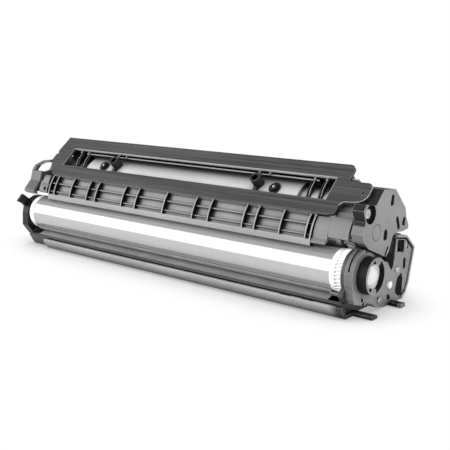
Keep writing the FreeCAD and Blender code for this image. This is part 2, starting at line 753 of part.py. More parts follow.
def hopper_outline():
    """Side view of the hopper's lower shell, from the back seam to the roller's seal."""
    axis = HOPPER_AXIS
    outer = hopper_radius
    inner = outer - d.hopper_wall
    return [
        polar(axis, outer, 18), arc_between(axis, outer, 18, -118),
        polar(axis, outer - 0.6, -130), polar(axis, inner, -130), polar(axis, inner, -118),
        arc_between(axis, inner, -118, 18),
    ]


def build_hopper():
    axis = HOPPER_AXIS
    hopper = new_body("toner_hopper")
    slab(hopper, "Shell", hopper_outline(), f"-({HOPPER_END})", HOPPER_END)
    flange = [
        polar(axis, hopper_radius - 1.0, 12), polar(axis, hopper_radius + 2.2, 12),
        polar(axis, hopper_radius + 2.2, 17.8), polar(axis, hopper_radius - 1.0, 17.8),
    ]
    slab(hopper, "SeamFlange", flange, f"-({HOPPER_END})", HOPPER_END)
    # end walls close the hopper; each carries a hinge lug at the back
    wall = [
        polar(axis, hopper_radius - 1.0, 18), arc_between(axis, hopper_radius - 1.0, 18, -118),
        polar(axis, hopper_radius - 1.0, -130), polar(axis, 13.0, -138), polar(axis, 12.8, -157),
        polar(axis, 12.9, -175), polar(axis, 12.95, 150), arc_between(axis, 12.95, 150, 18),
    ]
    lug = [
        polar(axis, hopper_radius - 1.0, -52), polar(HINGE, d.hinge_lug_radius, 210),
        arc_between(HINGE, d.hinge_lug_radius, 210, 400), polar(axis, hopper_radius - 1.0, -30),
    ]
    ear_low = d.ear_height
    ear_back = d.spring_place + 2.2
    ear = [(58.0, ear_low), (ear_back, ear_low), (ear_back, ear_low + 1.8), (56.0, ear_low + 2.4)]
    sides = ((1, HOPPER_END), (-1, f"-({HOPPER_END}) + hopper_wall"))
    for number, (side, outer_end) in enumerate(sides):
        slab(hopper, f"EndWall{number}", wall, f"{outer_end} - hopper_wall", outer_end)
        start, end = f"{HOPPER_END} - 4", f"{WALL_START} - 0.8"
        if side < 0:
            start, end = f"-({BRACKET_START}) + 0.8", f"-({HOPPER_END}) + 4"
        slab(hopper, f"Lug{number}", lug, start, end)
        slab(hopper, f"Ear{number}", ear, start, end)
        bore(hopper, f"HingeBore{number}", [HINGE], "hinge_pin_diameter / 2 + running_gap", start, end)
        bore(hopper, f"ShaftBore{number}", [axis], "agitator_diameter / 2 + running_gap",
             f"{outer_end} - hopper_wall", outer_end)
    # cap over the agitator's idle end
    cap = new_body("agitator_cap", axis)
    seat = -value(HOPPER_END)
    turn_profile(cap, "Revolution", "Cap", [
        (seat, 4.6), (seat - 2.0, 4.6), (seat - 2.0, 0), (seat - 2.8, 0), (seat - 2.8, 6.4),
        (seat - 2.2, 7.0), (seat, 7.0),
    ])


def lid_outline(radius):
    """Side view of the lid: an arch over the hopper from the back seam to the front."""
    axis = HOPPER_AXIS
    inner = radius - d.hopper_wall
    return [
        polar(axis, radius, 18.4), arc_between(axis, radius, 18.4, 150),
        polar(axis, inner, 150), arc_between(axis, inner, 150, 18.4),
    ]


def build_lid():
    axis = HOPPER_AXIS
    lid = doc.addObject("PartDesign::Body", "LidShell")
    lid.Placement = placed()
    low = hopper_radius - d.hopper_step
    slab(lid, "RaisedArch", lid_outline(hopper_radius), "-raised_length / 2", "raised_length / 2")
    step = "raised_length / 2 - hopper_wall"
    slab(lid, "DriveArch", lid_outline(low), step, HOPPER_END)
    slab(lid, "IdleArch", lid_outline(low), f"-({HOPPER_END})", f"-({step})")
    seam = [
        polar(axis, low - 1.5, 18.4), polar(axis, hopper_radius + 2.2, 18.4),
        polar(axis, hopper_radius + 2.2, 24), polar(axis, low - 1.5, 24),
    ]
    slab(lid, "SeamFlange", seam, f"-({HOPPER_END})", HOPPER_END)
    step_walls = [
        polar(axis, low - 1.0, 22), polar(axis, hopper_radius, 22),
        arc_between(axis, hopper_radius, 22, 150), polar(axis, low - 1.0, 150),
        arc_between(axis, low - 1.0, 150, 22),
    ]
    ends = ("raised_length / 2 - hopper_wall", "-raised_length / 2")
    for number, start in enumerate(ends):
        slab(lid, f"StepWall{number}", step_walls, start, f"{start} + hopper_wall")
    end_wall = [
        polar(axis, low - 0.5, 18.4), arc_between(axis, low - 0.5, 18.4, 150), polar(axis, low - 6, 150),
        arc_between(axis, low - 6, 150, 18.4),
    ]
    for number, start in enumerate((f"{HOPPER_END} - hopper_wall", f"-({HOPPER_END})")):
        slab(lid, f"EndWall{number}", end_wall, start, f"{start} + hopper_wall")
    front_rail = [(9.0, 40.9), (9.0, 39.1), (14.8, 38.0), (16.0, 39.2), (13.0, 41.4)]
    slab(lid, "FrontRail", front_rail, -150.5, 150.5)
    # pilot holes of the two window screws, drilled square to the tilted plate
    pilot = new_sketch(lid, "PilotCircles", "XY_Plane", offset=None)
    turn = Rotation(Vector(1, 0, 0), d.plate_tilt)
    pilot.AttachmentOffset = Placement(turn.multVec(Vector(0, 0, screw_seat)), turn)
    for side in (-1, 1):
        add_circle(pilot, (side * d.screw_spacing / 2, d.screw_place), "1.45")
    extrude(lid, "Pocket", "PilotHoles", pilot, "7")
    return lid


def tilted_box(width, low, high, station):
    """A box in the top plate's plane: its width along X, its low and high (along, height)."""
    box = Part.makeBox(width, high[0] - low[0], high[1] - low[1])
    box.translate(Vector(station - width / 2, low[0], low[1]))
    return box


def build_lid_ribs():
    """Ribs, rail and bosses that stand on the lid under the windowed plate."""
    turn = Rotation(Vector(1, 0, 0), -d.plate_tilt)
    axis = turn.multVec(Vector(0, *HOPPER_AXIS))
    under = plate_under
    half_raised = d.raised_length / 2

    def arch(radius, start, length):
        return Part.makeCylinder(radius, length, Vector(start, axis.y, axis.z), Vector(1, 0, 0))

    length = 2 * value(HOPPER_END)
    low = hopper_radius - d.hopper_step
    keep_out = arch(low, -length / 2, length).fuse(arch(hopper_radius, -half_raised, 2 * half_raised))
    stations = [72.0, 81.6, 120.8, 130.7]
    base = 12.0
    parts = []
    for station in [side * place for place in stations for side in (1, -1)]:
        parts.append(tilted_box(d.rib_thickness, (d.rail_place, base), (d.plate_back - 1.5, under), station))
    for station in (-149.0, -20.0, 20.0, 143.0):
        parts.append(tilted_box(d.rib_thickness, (d.window_back + 1.5, base), (d.plate_back - 1.5, under),
                                station))
    wall_low = (d.window_back + 1.0, base)
    wall_high = (d.window_back + 1.0 + d.rib_thickness, under)
    parts.append(tilted_box(length, wall_low, wall_high, 0))
    rail = tilted_box(248.4, (d.rail_place, base), (d.rail_place + d.rib_thickness, d.rail_height), 0)
    parts.append(rail)
    for station in [side * place for place in (120.8, 130.7) for side in (1, -1)]:
        parts.append(tilted_box(d.rib_thickness, (d.window_front + 1.5, base), (d.rail_place, 20.5), station))
    ribs = parts[0].multiFuse(parts[1:]).cut(keep_out)
    return [solid for solid in ribs.Solids if solid.Volume > 1.0]


def build_bosses():
    turn = Rotation(Vector(1, 0, 0), -d.plate_tilt)
    axis = turn.multVec(Vector(0, *HOPPER_AXIS))
    drum = Part.makeCylinder(hopper_radius, d.raised_length, Vector(-d.raised_length / 2, axis.y, axis.z),
                             Vector(1, 0, 0))
    bosses = []
    for side in (-1, 1):
        place = Vector(side * d.boss_spacing / 2, 44.4, 16.0)
        outer = Part.makeCylinder(d.boss_diameter / 2, d.boss_top - 16.0, place)
        inner = Part.makeCylinder(d.boss_bore / 2, d.boss_top - 16.0, place)
        bosses.append(outer.cut(inner).cut(drum))
        seat = Vector(side * d.screw_spacing / 2, d.screw_place, 16.0)
        height = screw_seat - 16.0
        post = Part.makeCylinder(4.4, height, seat).cut(Part.makeCylinder(1.45, height, seat))
        bosses.append(post.cut(drum))
    return [boss.Solids[0] for boss in bosses]


def build_whole_lid():
    """The lid, its ribs and its bosses are one moulding."""
    shell = build_lid()
    details = doc.addObject("Part::Feature", "LidDetails")
    details.Shape = Part.makeCompound(build_lid_ribs() + build_bosses())
    details.Placement = placed(tilt=d.plate_tilt)
    lid = doc.addObject("Part::MultiFuse", "hopper_lid")
    lid.Label = "hopper_lid"
    lid.Shapes = [shell, details]
    PIECES.append(lid)


def build_lid_screws():
    washers = []
    screws = []
    for side in (-1, 1):
        seat = Vector(side * d.screw_spacing / 2, d.screw_place, screw_seat)
        washer = Part.makeCylinder(d.screw_washer / 2, 0.7, seat)
        washers.append(washer.cut(Part.makeCylinder(1.7, 0.7, seat)))
        top = seat + Vector(0, 0, 0.7)
        head = Part.makeCylinder(d.screw_head / 2, 1.8, top)
        head = head.makeFillet(0.8, [edge for edge in head.Edges
                                     if abs(edge.CenterOfMass.z - (top.z + 1.8)) < 0.01][:1])
        solid = head.fuse(Part.makeCylinder(1.4, 4.5, top - Vector(0, 0, 4.5)))
        for turn in (0, 90):
            slot = Part.makeBox(3.6, 0.8, 1.0, Vector(-1.8, -0.4, 0))
            slot.rotate(Vector(0, 0, 0), Vector(0, 0, 1), turn + 30)
            slot.translate(top + Vector(0, 0, 1.1))
            solid = solid.cut(slot)
        screws.append(solid)
    new_feature("lid_screw_washers", Part.makeCompound(washers), tilt=d.plate_tilt)
    new_feature("lid_screws", Part.makeCompound(screws), tilt=d.plate_tilt)


def build_top_plate():
    """Windowed plate over the hopper, drawn in its own tilted plane (X, along)."""
    plate = new_body("top_plate", tilt=d.plate_tilt)
    back, front = d.plate_back, d.plate_front
    right, left, reach = d.plate_right, -d.plate_left, d.flap_reach
    sketch = new_sketch(plate, "PlateOutline", "XY_Plane", "plate_height - plate_thickness")
    draw(sketch, [
        (left + 2.2, back), (right - 4.5, back), ((right - 1.3, back - 1.3), (right, back - 4.5)),
        (right, d.flap_top + 1.2), (right + 1.5, d.flap_top), (reach - 6.0, d.flap_top),
        ((reach - 1.2, d.flap_top - 1.6), (reach, d.flap_top - 6.0)), (reach, 43.5),
        ((reach - 2.2, 38.6), (reach - 9.0, d.flap_bottom)), (right + 4.0, d.flap_bottom - 0.6),
        (right + 1.8, d.flap_bottom - 3.4), (right + 1.2, front + 1.6), (right - 4.0, front + 0.2),
        (137.0, front), (-143.0, front), (-146.5, front + 1.8), (left + 6.2, 31.0), (left, 39.0),
        (left, 46.6), (left + 1.6, 47.0), (left + 1.6, 49.4), (left, 49.8),
    ])
    extrude(plate, "Pad", "Plate", sketch, "plate_thickness")
    half = d.window_length / 2
    opening = new_sketch(plate, "WindowOutline", "XY_Plane", "plate_height")
    draw(opening, rectangle((-half, d.window_front), (half, d.window_back)))
    extrude(plate, "Pocket", "Window", opening, "plate_thickness")
    hole = new_sketch(plate, "FlapHole", "XY_Plane", "plate_height")
    add_circle(hole, (reach - 5.2, 44.7), "0.9")
    extrude(plate, "Pocket", "FlapPilot", hole, "plate_thickness")


# Toner unit: ribbed paper guide

def build_guide():
    """Front moulding with fins and two long ribs, drawn in its own tilted plane."""
    guide = new_body("front_guide", tilt=d.guide_tilt)
    top = 32.0
    bottom = top - d.guide_depth - 1.9
    face = 17.5
    floor_level = face - d.fin_depth
    back = floor_level - d.guide_wall
    sketch = new_sketch(guide, "GuideOutline", "YZ_Plane", GUIDE_START)
    middle = (top + bottom) / 2
    draw(sketch, [
        (bottom, face - 0.2), ((middle, face + d.fin_bulge), (top - 0.7, face - 0.05)),
        (top - 1.15, face - 1.5), (top + 4.4, face - 3.45), (top + 3.8, face - 5.15), (top - 1.4, back),
        (bottom - 3.4, back), (bottom - 3.4, back + 2.6), (bottom - 1.2, face - 0.7),
    ])
    extrude(guide, "Pad", "Guide", sketch, "guide_length")
    thick = d.rib_thickness
    places = [31.2, 47.0, 79.6, 90.6, 112.4, 134.0]
    fins = [-place for place in places[::-1]] + [0.0] + places
    edges = [value(GUIDE_START) + thick / 2] + fins + [value(GUIDE_END) - thick / 2]
    # low long ribs between the fins, and deeper rows between the ribs
    rows = [
        ("LongRibs", bottom + 0.6, top - 1.2, floor_level + d.rib_rise),
        ("TopRow", 24.6, top - 1.9, floor_level - 0.2),
        ("MiddleRow", 17.2, 23.4, floor_level - 0.4),
        ("BottomRow", bottom + 0.6, 16.0, floor_level + 0.4),
    ]
    for name, low, high, level in rows:
        cells = new_sketch(guide, f"{name}Cells", "XY_Plane", f"{level}")
        for left, right in zip(edges, edges[1:]):
            draw(cells, rectangle((left + thick / 2, low), (right - thick / 2, high)))
        pocket = extrude(guide, "Pocket", name, cells, "8")
        pocket.Reversed = True
    return guide


def guide_profile(top, bottom, face, wall, lip):
    """Side view of the smooth panels at the guide's ends, in cross-section points."""
    middle = (top + bottom) / 2
    outer = [
        guide_point(bottom, face - 0.2),
        (guide_point(middle, face + d.fin_bulge * 0.8), guide_point(top, face)),
    ]
    inner = [
        guide_point(top, face - wall), guide_point(middle, face - wall), guide_point(bottom, face - wall),
    ]
    return outer + lip + inner


def build_front_panels():
    inset = 16.9
    shoulder = [
        plate_point(d.plate_front + 1.0, 23.6), plate_point(30.0, 23.6), plate_point(30.4, 21.6),
        plate_point(36.4, 21.6), plate_point(36.4, 20.4), plate_point(27.0, 20.0),
    ]
    # foot between the back of a panel and the roller's bearing holder
    holder_front = SLEEVE_AXIS[0] - 5.0
    foot = [
        guide_point(21.0, inset - 2.0), (holder_front, 22.0), (holder_front, 26.0),
        guide_point(25.0, inset - 2.0),
    ]
    bearing = "sleeve_length / 2 + spacer_width + 0.7"
    right = new_body("right_front_panel")
    slab(right, "Panel", guide_profile(31.0, 17.0, inset, 2.2, []), PANEL_START, PANEL_END)
    slab(right, "Shoulder", [guide_point(31.0, inset), *shoulder, guide_point(29.6, inset - 2.2)],
         PANEL_START, PANEL_END)
    slab(right, "Foot", foot, bearing, f"{bearing} + bearing_width")
    strip = new_body("right_guide_strip")
    slab(strip, "Strip", guide_profile(30.4, 15.2, inset - 0.6, 2.2, []), STRIP_START,
         STRIP_END)
    slab(strip, "Foot", [
        guide_point(15.6, inset - 0.8), guide_point(12.4, inset + 0.4), guide_point(11.4, inset - 0.4),
        guide_point(14.4, inset - 3.0),
    ], STRIP_START, STRIP_END)
    left = new_body("left_front_panel")
    step = 22.6
    slab(left, "Panel", guide_profile(step, 14.4, inset, 2.2, []), LEFT_PANEL_START, LEFT_PANEL_END)
    slab(left, "UpperStrip", guide_profile(30.6, step - 1.0, inset - 0.4, 2.2, []),
         f"{LEFT_PANEL_START} + 1.0", f"{LEFT_PANEL_END} - 1.5")
    foot_end = f"{LEFT_PANEL_START} + 3.0"
    bar = [guide_point(21.0, inset - 2.0), (0.6, 22.0), (0.6, 26.0), guide_point(25.0, inset - 2.0)]
    slab(left, "FootBar", bar, f"-({bearing}) - bearing_width", foot_end)
    slab(left, "Foot", foot, f"-({bearing}) - bearing_width", f"-({bearing})")
    hole = [
        guide_point(16.2, inset + 3), guide_point(19.4, inset + 3), guide_point(19.4, inset - 1.4),
        guide_point(16.2, inset - 1.4),
    ]
    cut_away(left, "SquareHole", [hole], f"{LEFT_PANEL_END} - 4.9", f"{LEFT_PANEL_END} - 1.6")


# Toner unit: developer roller

def build_developer_roller():
    shaft = d.roller_shaft_diameter / 2
    half = d.sleeve_length / 2
    sleeve = new_body("developer_sleeve", SLEEVE_AXIS)
    inner = sleeve_radius - d.sleeve_wall
    turn_profile(sleeve, "Revolution", "Sleeve", [
        (-half, inner), (-half, sleeve_radius - 0.2), (-half + 0.2, sleeve_radius),
        (half - 0.2, sleeve_radius), (half, sleeve_radius - 0.2), (half, inner),
    ])
    journal = new_body("sleeve_drive_shaft", SLEEVE_AXIS)
    end = value(COVER_PLATE) + 2.0
    turn_profile(journal, "Revolution", "Journal", [
        (half - 8, 0), (half - 8, inner - 0.02), (half, inner - 0.02), (half, shaft + 1.0),
        (half + d.spacer_width + 0.4, shaft + 1.0), (half + d.spacer_width + 0.4, shaft),
        (end, shaft), (end, 0),
    ])
    cap = new_body("sleeve_end_cap", SLEEVE_AXIS)
    magnet_shaft = 2.2
    bush = magnet_shaft + d.running_gap
    turn_profile(cap, "Revolution", "Cap", [
        (-half + 6, bush), (-half + 6, inner - 0.02), (-half, inner - 0.02), (-half, shaft + 1.0),
        (-half - d.spacer_width - 0.4, shaft + 1.0), (-half - d.spacer_width - 0.4, shaft),
        (-half - 9.0, shaft), (-half - 9.0, bush),
    ])
    ring_radius = sleeve_radius + d.development_gap - 0.1
    ring = tube(f"{half}", f"{half} + spacer_width", ring_radius, shaft + 1.02)
    new_feature("spacer_rings", both_ends(ring), SLEEVE_AXIS)
    gear = helical_gear(d.developer_teeth, developer_phase, -1, value(GEAR_START), value(GEAR_END),
                        shaft + 0.01)
    new_feature("developer_gear", gear, SLEEVE_AXIS)

    magnet = new_body("magnet_core", SLEEVE_AXIS)
    radius = d.magnet_diameter / 2
    turn_profile(magnet, "Revolution", "Core", [
        (-half - 22.0, 0), (-half - 22.0, magnet_shaft), (-half + 7.5, magnet_shaft),
        (-half + 7.5, radius), (half - 9.5, radius), (half - 9.5, 0),
    ])
    # bearing holders at both ends of the roller, fixed to the hopper ends
    start = half + d.spacer_width + 0.7
    holder = Part.makeBox(d.bearing_width, 17.5, 11.0,
                          Vector(start, SLEEVE_AXIS[0] - 5.0, SLEEVE_AXIS[1] - 4.4))
    wall = value(HOPPER_END)
    foot = Part.makeBox(start - wall, 3.5, 11.0, Vector(wall, SLEEVE_AXIS[0] + 9.0, SLEEVE_AXIS[1] - 4.4))
    holder = holder.fuse(foot).removeSplitter()
    hole = Part.makeCylinder(shaft + d.running_gap, d.bearing_width,
                             Vector(start, *SLEEVE_AXIS), Vector(1, 0, 0))
    new_feature("roller_bearings", both_ends(holder.cut(hole)))


def build_doctor_blade():
    half = d.sleeve_length / 2 - 2
    low = (SLEEVE_AXIS[0] - 2.4, SLEEVE_AXIS[1] + 8.0)
    high = (low[0] + 1.7, low[1] + 7.5)
    blade = new_body("doctor_blade")
    slab(blade, "Blade", [
        (low[0] - 1.0, low[1] + 0.2), low, high, (high[0] - 1.0, high[1] + 0.2),
    ], -half, half)
    # steel angle behind the blade, screwed under the lid's front rail
    bracket = new_body("doctor_blade_bracket")
    foot = (low[0] + 0.68, low[1] + 3.0)
    slab(bracket, "Bracket", [
        foot, high, (9.1, 39.05), (14.6, 38.0), (14.4, 37.0), (high[0] + 1.6, 37.9), (foot[0] + 1.2, foot[1]),
    ], -half, half)


def build_agitator():
    shaft = d.agitator_diameter / 2
    end = value(GEAR_END)
    rod = new_body("agitator_shaft", HOPPER_AXIS)
    left = -value(HOPPER_END) - 1.5
    turn_profile(rod, "Revolution", "Rod", [
        (left, 0), (left, shaft), (end, shaft), (end, 0),
    ])
    flats = new_sketch(rod, "FlatOutline", "YZ_Plane", "-hopper_length / 2 + 6")
    draw(flats, rectangle((-10.0, 1.6), (10.0, 10.0)))
    flat = extrude(rod, "Pocket", "Flat", flats, "hopper_length - 12")
    flat.Reversed = True
    sheet_body = new_body("agitator_sheet", HOPPER_AXIS)
    slab(sheet_body, "Sheet", rectangle((-13.0, 1.62), (3.4, 1.95)), "-hopper_length / 2 + 10",
         "hopper_length / 2 - 10")
    sketch = new_sketch(sheet_body, "SlitOutlines", "XY_Plane", "3")
    for number in range(7):
        place = -120.0 + 40.0 * number
        draw(sketch, rectangle((place - 8, -10.5), (place + 8, -6.0)))
    extrude(sheet_body, "Pocket", "Slits", sketch, "6")
    gear = helical_gear(d.agitator_teeth, agitator_phase, 1, value(GEAR_START), value(GEAR_END),
                        shaft + 0.01)
    new_feature("agitator_gear", gear, HOPPER_AXIS)


# Toner unit: end covers

def cover_outline():
    """Side view of the toner unit's drive-side end cover."""
    return [
        (20.5, 53.4), (36.2, 51.8), (51.4, 36.9), (53.4, 29.5), (56.6, 24.4), (56.6, 21.6),
        (48.1, 20.9), (38.0, 21.7), (34.5, 20.0), (29.9, 9.9), (25.9, 6.9), (2.5, 16.4),
        (-3.4, 21.4), (-5.9, 27.0), (-2.2, 35.0), (-5.6, 42.4), (-2.2, 46.2), (10.4, 44.2),
    ]


def offset_inside(outline, distance):
    """The outline moved inwards by a distance, corner by corner."""
    area = sum(a[0] * b[1] - b[0] * a[1] for a, b in zip(outline, outline[1:] + outline[:1]))
    sign = 1 if area > 0 else -1
    moved = []
    for before, here, after in zip(outline[-1:] + outline[:-1], outline, outline[1:] + outline[:1]):
        first = (Vector(*here, 0) - Vector(*before, 0)).normalize()
        second = (Vector(*after, 0) - Vector(*here, 0)).normalize()
        normal_a = Vector(-first.y, first.x, 0) * sign
        normal_b = Vector(-second.y, second.x, 0) * sign
        bisector = (normal_a + normal_b).normalize()
        reach = distance / max(bisector.dot(normal_a), 0.35)
        moved.append((here[0] + bisector.x * reach, here[1] + bisector.y * reach))
    return moved


def build_right_cover():
    cover = new_body("right_end_cover")
    outline = cover_outline()
    slab(cover, "Plate", outline, COVER_PLATE, COVER_FACE)
    inner = offset_inside(outline, d.cover_wall)
    skirt = outline[:7] + inner[:7][::-1]
    slab(cover, "Skirt", skirt, COVER_START, f"{COVER_PLATE} + 0.5")
    front = outline[12:] + outline[:1] + inner[:1] + inner[12:][::-1]
    slab(cover, "FrontSkirt", front, f"{COVER_START} + 7", f"{COVER_PLATE} + 0.5")
    screw_place = (3.8, 39.4)
    bore(cover, "ScrewRecess", [screw_place], "recess_diameter / 2", f"{COVER_FACE} - recess_depth", COVER_FACE)
    bore(cover, "ScrewHole", [screw_place], "1.6", COVER_PLATE, COVER_FACE)
    slots = [
        [(32.6, 47.6), ((33.6, 48.4), (34.4, 47.4)), (33.8, 42.2), ((32.8, 41.2), (32.2, 42.2))],
        [(39.8, 30.6), ((40.7, 31.6), (41.6, 30.6)), (43.6, 24.4), ((42.8, 23.2), (41.8, 24.2))],
        [(49.4, 28.8), ((50.2, 29.6), (51.2, 28.6)), (51.4, 25.2), ((50.2, 24.4), (49.2, 25.4))],
        [(23.4, 22.6), ((25.0, 24.8), (26.7, 22.4)), (26.7, 20.6), ((25.0, 18.8), (23.4, 20.6))],
    ]
    cut_away(cover, "Slots", slots, f"{COVER_FACE} - 4", COVER_FACE)
    bore(cover, "SmallHoles", [(28.4, 12.6), (25.4, 9.6)], "0.8", f"{COVER_FACE} - 3", COVER_FACE)
    bore(cover, "ShaftSeat", [SLEEVE_AXIS], "roller_shaft_diameter / 2 + running_gap",
         COVER_PLATE, f"{COVER_PLATE} + 2.4")
    ring = [
        polar((12.0, 26.0), 5.6, 0), arc_between((12.0, 26.0), 5.6, 0, 180),
        arc_between((12.0, 26.0), 5.6, 180, 360),
    ]
    core = [
        polar((12.0, 26.0), 5.1, 0), arc_between((12.0, 26.0), 5.1, 0, 180),
        arc_between((12.0, 26.0), 5.1, 180, 360),
    ]
    cut_away(cover, "MouldRing", [ring, core], f"{COVER_FACE} - 0.4", COVER_FACE)

    screws = screw(f"{COVER_FACE} - recess_depth", screw_place, 3.5, 1.5, 8.0, 1)
    new_feature("end_cover_screw", screws)


CHEEK_EDGE = [(-7.0, 17.2), (-9.9, 19.4), (-9.4, 21.4), (-2.4, 29.0), (0.0, 37.2)]


def left_cover_outline():
    return CHEEK_EDGE + [
        (7.5, 36.0), (13.0, 34.5), (19.0, 35.5), (24.0, 42.5), (30.0, 47.0), (36.2, 47.5),
        (51.4, 36.9), (53.4, 29.5), (54.0, 22.0), (38.0, 21.7), (34.5, 20.0), (28.5, 11.5), (8.0, 17.6),
    ]


def build_left_cover():
    cover = new_body("left_end_cover")
    plate_end = f"-({COVER_FACE}) + 3.4"
    slab(cover, "Plate", left_cover_outline(), f"-({COVER_FACE})", plate_end)
    cheek = CHEEK_EDGE + [(2.2, 35.4), (-0.2, 28.0), (-6.6, 21.0), (-5.4, 17.3)]
    slab(cover, "Cheek", cheek, f"-({COVER_FACE}) + 3", f"-({COVER_FACE}) + cheek_width")
    back = [
        (36.2, 47.5), (51.4, 36.9), (53.4, 29.5), (51.2, 29.2), (49.4, 36.0), (35.4, 45.0),
    ]
    slab(cover, "BackSkirt", back, f"-({COVER_FACE}) + 3", f"-({COVER_START})")
    # finger loop: a strap that rises from the cheek and bends round to the top plate's side
    root = [(-0.6, 36.6), (3.2, 41.6), (7.2, 43.2), (7.4, 40.6), (5.0, 38.4), (3.4, 35.8)]
    slab(cover, "LoopRoot", root, f"-({COVER_FACE})", plate_end)
    strap = []
    for number, (station, centre) in enumerate((
        (f"-({COVER_FACE}) + 1", (5.5, 41.2)), (f"-({COVER_FACE}) + 8", (8.0, 45.0)),
        ("-plate_left - 0.3", (9.5, 46.2)),
    )):
        section = new_sketch(cover, f"StrapSection{number}", offset=station)
        draw(section, rectangle((centre[0] - 1.7, centre[1] - 1.2), (centre[0] + 1.7, centre[1] + 1.2)))
        strap.append(section)
    loop = cover.newObject("PartDesign::AdditiveLoft", "Loop")
    loop.Profile = strap[0]
    loop.Sections = strap[1:]
    loop.Ruled = True
    bore(cover, "MagnetSeat", [SLEEVE_AXIS], "2.3", f"-({COVER_FACE})", plate_end)


def build_springs():
    base = Vector(value(f"{HOPPER_END} + 2"), d.spring_place, d.bin_top)
    length = d.ear_height - d.bin_top - 0.1
    spring = coil(base, Vector(0, 0, 1), length, d.spring_radius, d.spring_wire, 4)
    new_feature("pressure_springs", both_ends(spring))


def build_all():
    build_drum()
    build_left_flange()
    build_frame()
    build_drive_housing()
    build_left_bracket()
    build_fixings()
    build_charge_roller()
    build_cleaning_blade()
    build_hopper()
    build_whole_lid()
    build_lid_screws()
    build_top_plate()
    build_guide()
    build_front_panels()
    build_developer_roller()
    build_doctor_blade()
    build_agitator()
    build_right_cover()
    build_left_cover()
    build_springs()
    doc.recompute()


def check_and_write():
    """Stop on any failed object, then write one file for each piece."""
    for item in doc.Objects:
        if "Invalid" in item.State or "Error" in item.State:
            raise RuntimeError(f"{item.Label} failed: {item.State}")
    os.makedirs("parts", exist_ok=True)
    for piece in PIECES:
        shape = piece.Shape
        if shape.isNull() or not shape.isValid() or not shape.Solids:
            raise RuntimeError(f"{piece.Label} has no valid solid")
        shape.exportStep(f"parts/{piece.Label}.step")
        print(f"{piece.Label}: {len(shape.Solids)} solid(s), {shape.Volume / 1000:.2f} cm3")


build_all()
check_and_write()
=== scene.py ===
import json
import math

import bmesh
import bpy
from mathutils import Matrix, Vector


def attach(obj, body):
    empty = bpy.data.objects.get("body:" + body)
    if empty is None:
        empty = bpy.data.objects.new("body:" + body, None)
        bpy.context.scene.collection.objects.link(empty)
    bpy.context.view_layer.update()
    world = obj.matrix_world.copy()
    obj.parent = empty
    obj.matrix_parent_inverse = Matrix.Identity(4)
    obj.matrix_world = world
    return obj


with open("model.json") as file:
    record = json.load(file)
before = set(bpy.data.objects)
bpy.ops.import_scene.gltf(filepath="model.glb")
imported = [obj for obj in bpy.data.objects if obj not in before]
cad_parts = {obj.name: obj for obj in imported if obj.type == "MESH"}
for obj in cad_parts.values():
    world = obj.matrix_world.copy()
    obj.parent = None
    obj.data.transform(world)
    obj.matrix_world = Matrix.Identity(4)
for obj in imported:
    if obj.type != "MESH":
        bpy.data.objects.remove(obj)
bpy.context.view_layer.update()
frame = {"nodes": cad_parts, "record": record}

# The CAD frame's origin lies under the middle of the part's box. In that frame, in metres, the
# middle of the drum's axis is here. Places on the part are in millimetres from this point.
SHIFT_X = -0.00425
DRUM_Y = -0.0236
DRUM_Z = 0.0282

# The top plate and the finned guide lie in planes that are tilted about the drum's axis, in
# degrees. The plate's upper face is this high above the axis, square to its plane.
PLATE_TILT = 43.3
GUIDE_TILT = 62.8
PLATE_TOP = 27.78

# Stations along X: the outer face of the drive end, the edge just short of its hub's face, and
# the guide's fins
END_FACE = 176.2
HUB_EDGE = 183.5
FINS = [side * place for place in (31.2, 47.0, 79.6, 90.6, 112.4, 134.0) for side in (-1, 1)] + [0.0]

# Places in the cross-section: the axes of the drum, the hopper's arch and the end cover's screw
DRUM_AXIS = (0.0, 0.0)
ARCH_AXIS = (29.4, 29.87)
COVER_SCREW = (3.8, 39.4)


def at(x, y, z):
    """A point in metres from millimetres measured from the drum's axis and middle."""
    return Vector((x / 1000 + SHIFT_X, y / 1000 + DRUM_Y, z / 1000 + DRUM_Z))


# Materials

class Nodes:
    """A node tree with short helpers, which hand values on as output sockets."""

    def __init__(self, tree):
        self.tree = tree
        self.tree.nodes.clear()

    def node(self, kind, **settings):
        node = self.tree.nodes.new(f"ShaderNode{kind}")
        for name, value in settings.items():
            setattr(node, name, value)
        return node

    def feed(self, socket, value):
        """Link an output to an input, or set the input where the value is plain."""
        if isinstance(value, bpy.types.NodeSocket):
            self.tree.links.new(value, socket)
        else:
            socket.default_value = value

    def feed_all(self, node, values):
        """Feed a node's first inputs in their order."""
        for socket, value in zip(node.inputs, values):
            self.feed(socket, value)

    def maths(self, operation, *values):
        """A number worked out from one or two numbers."""
        node = self.node("Math", operation=operation)
        self.feed_all(node, values)
        return node.outputs["Value"]

    def vector_maths(self, operation, *values):
        """A vector worked out from vectors, or a number where the operation gives one."""
        node = self.node("VectorMath", operation=operation)
        self.feed_all(node, values)
        return node.outputs["Value" if operation in ("DOT_PRODUCT", "LENGTH") else "Vector"]

    def remap(self, value, low, high, new_low=0.0, new_high=1.0):
        """A number carried over from one span to another, and held inside the new one."""
        node = self.node("MapRange", clamp=True)
        self.feed_all(node, (value, low, high, new_low, new_high))
        return node.outputs["Result"]

    def mix_shaders(self, first, second, factor):
        node = self.node("MixShader")
        self.feed_all(node, (factor, first, second))
        return node.outputs["Shader"]

    def end_with(self, kind, shader):
        """Lead a shader to the tree's output node."""
        self.feed(self.node(kind).inputs["Surface"], shader)


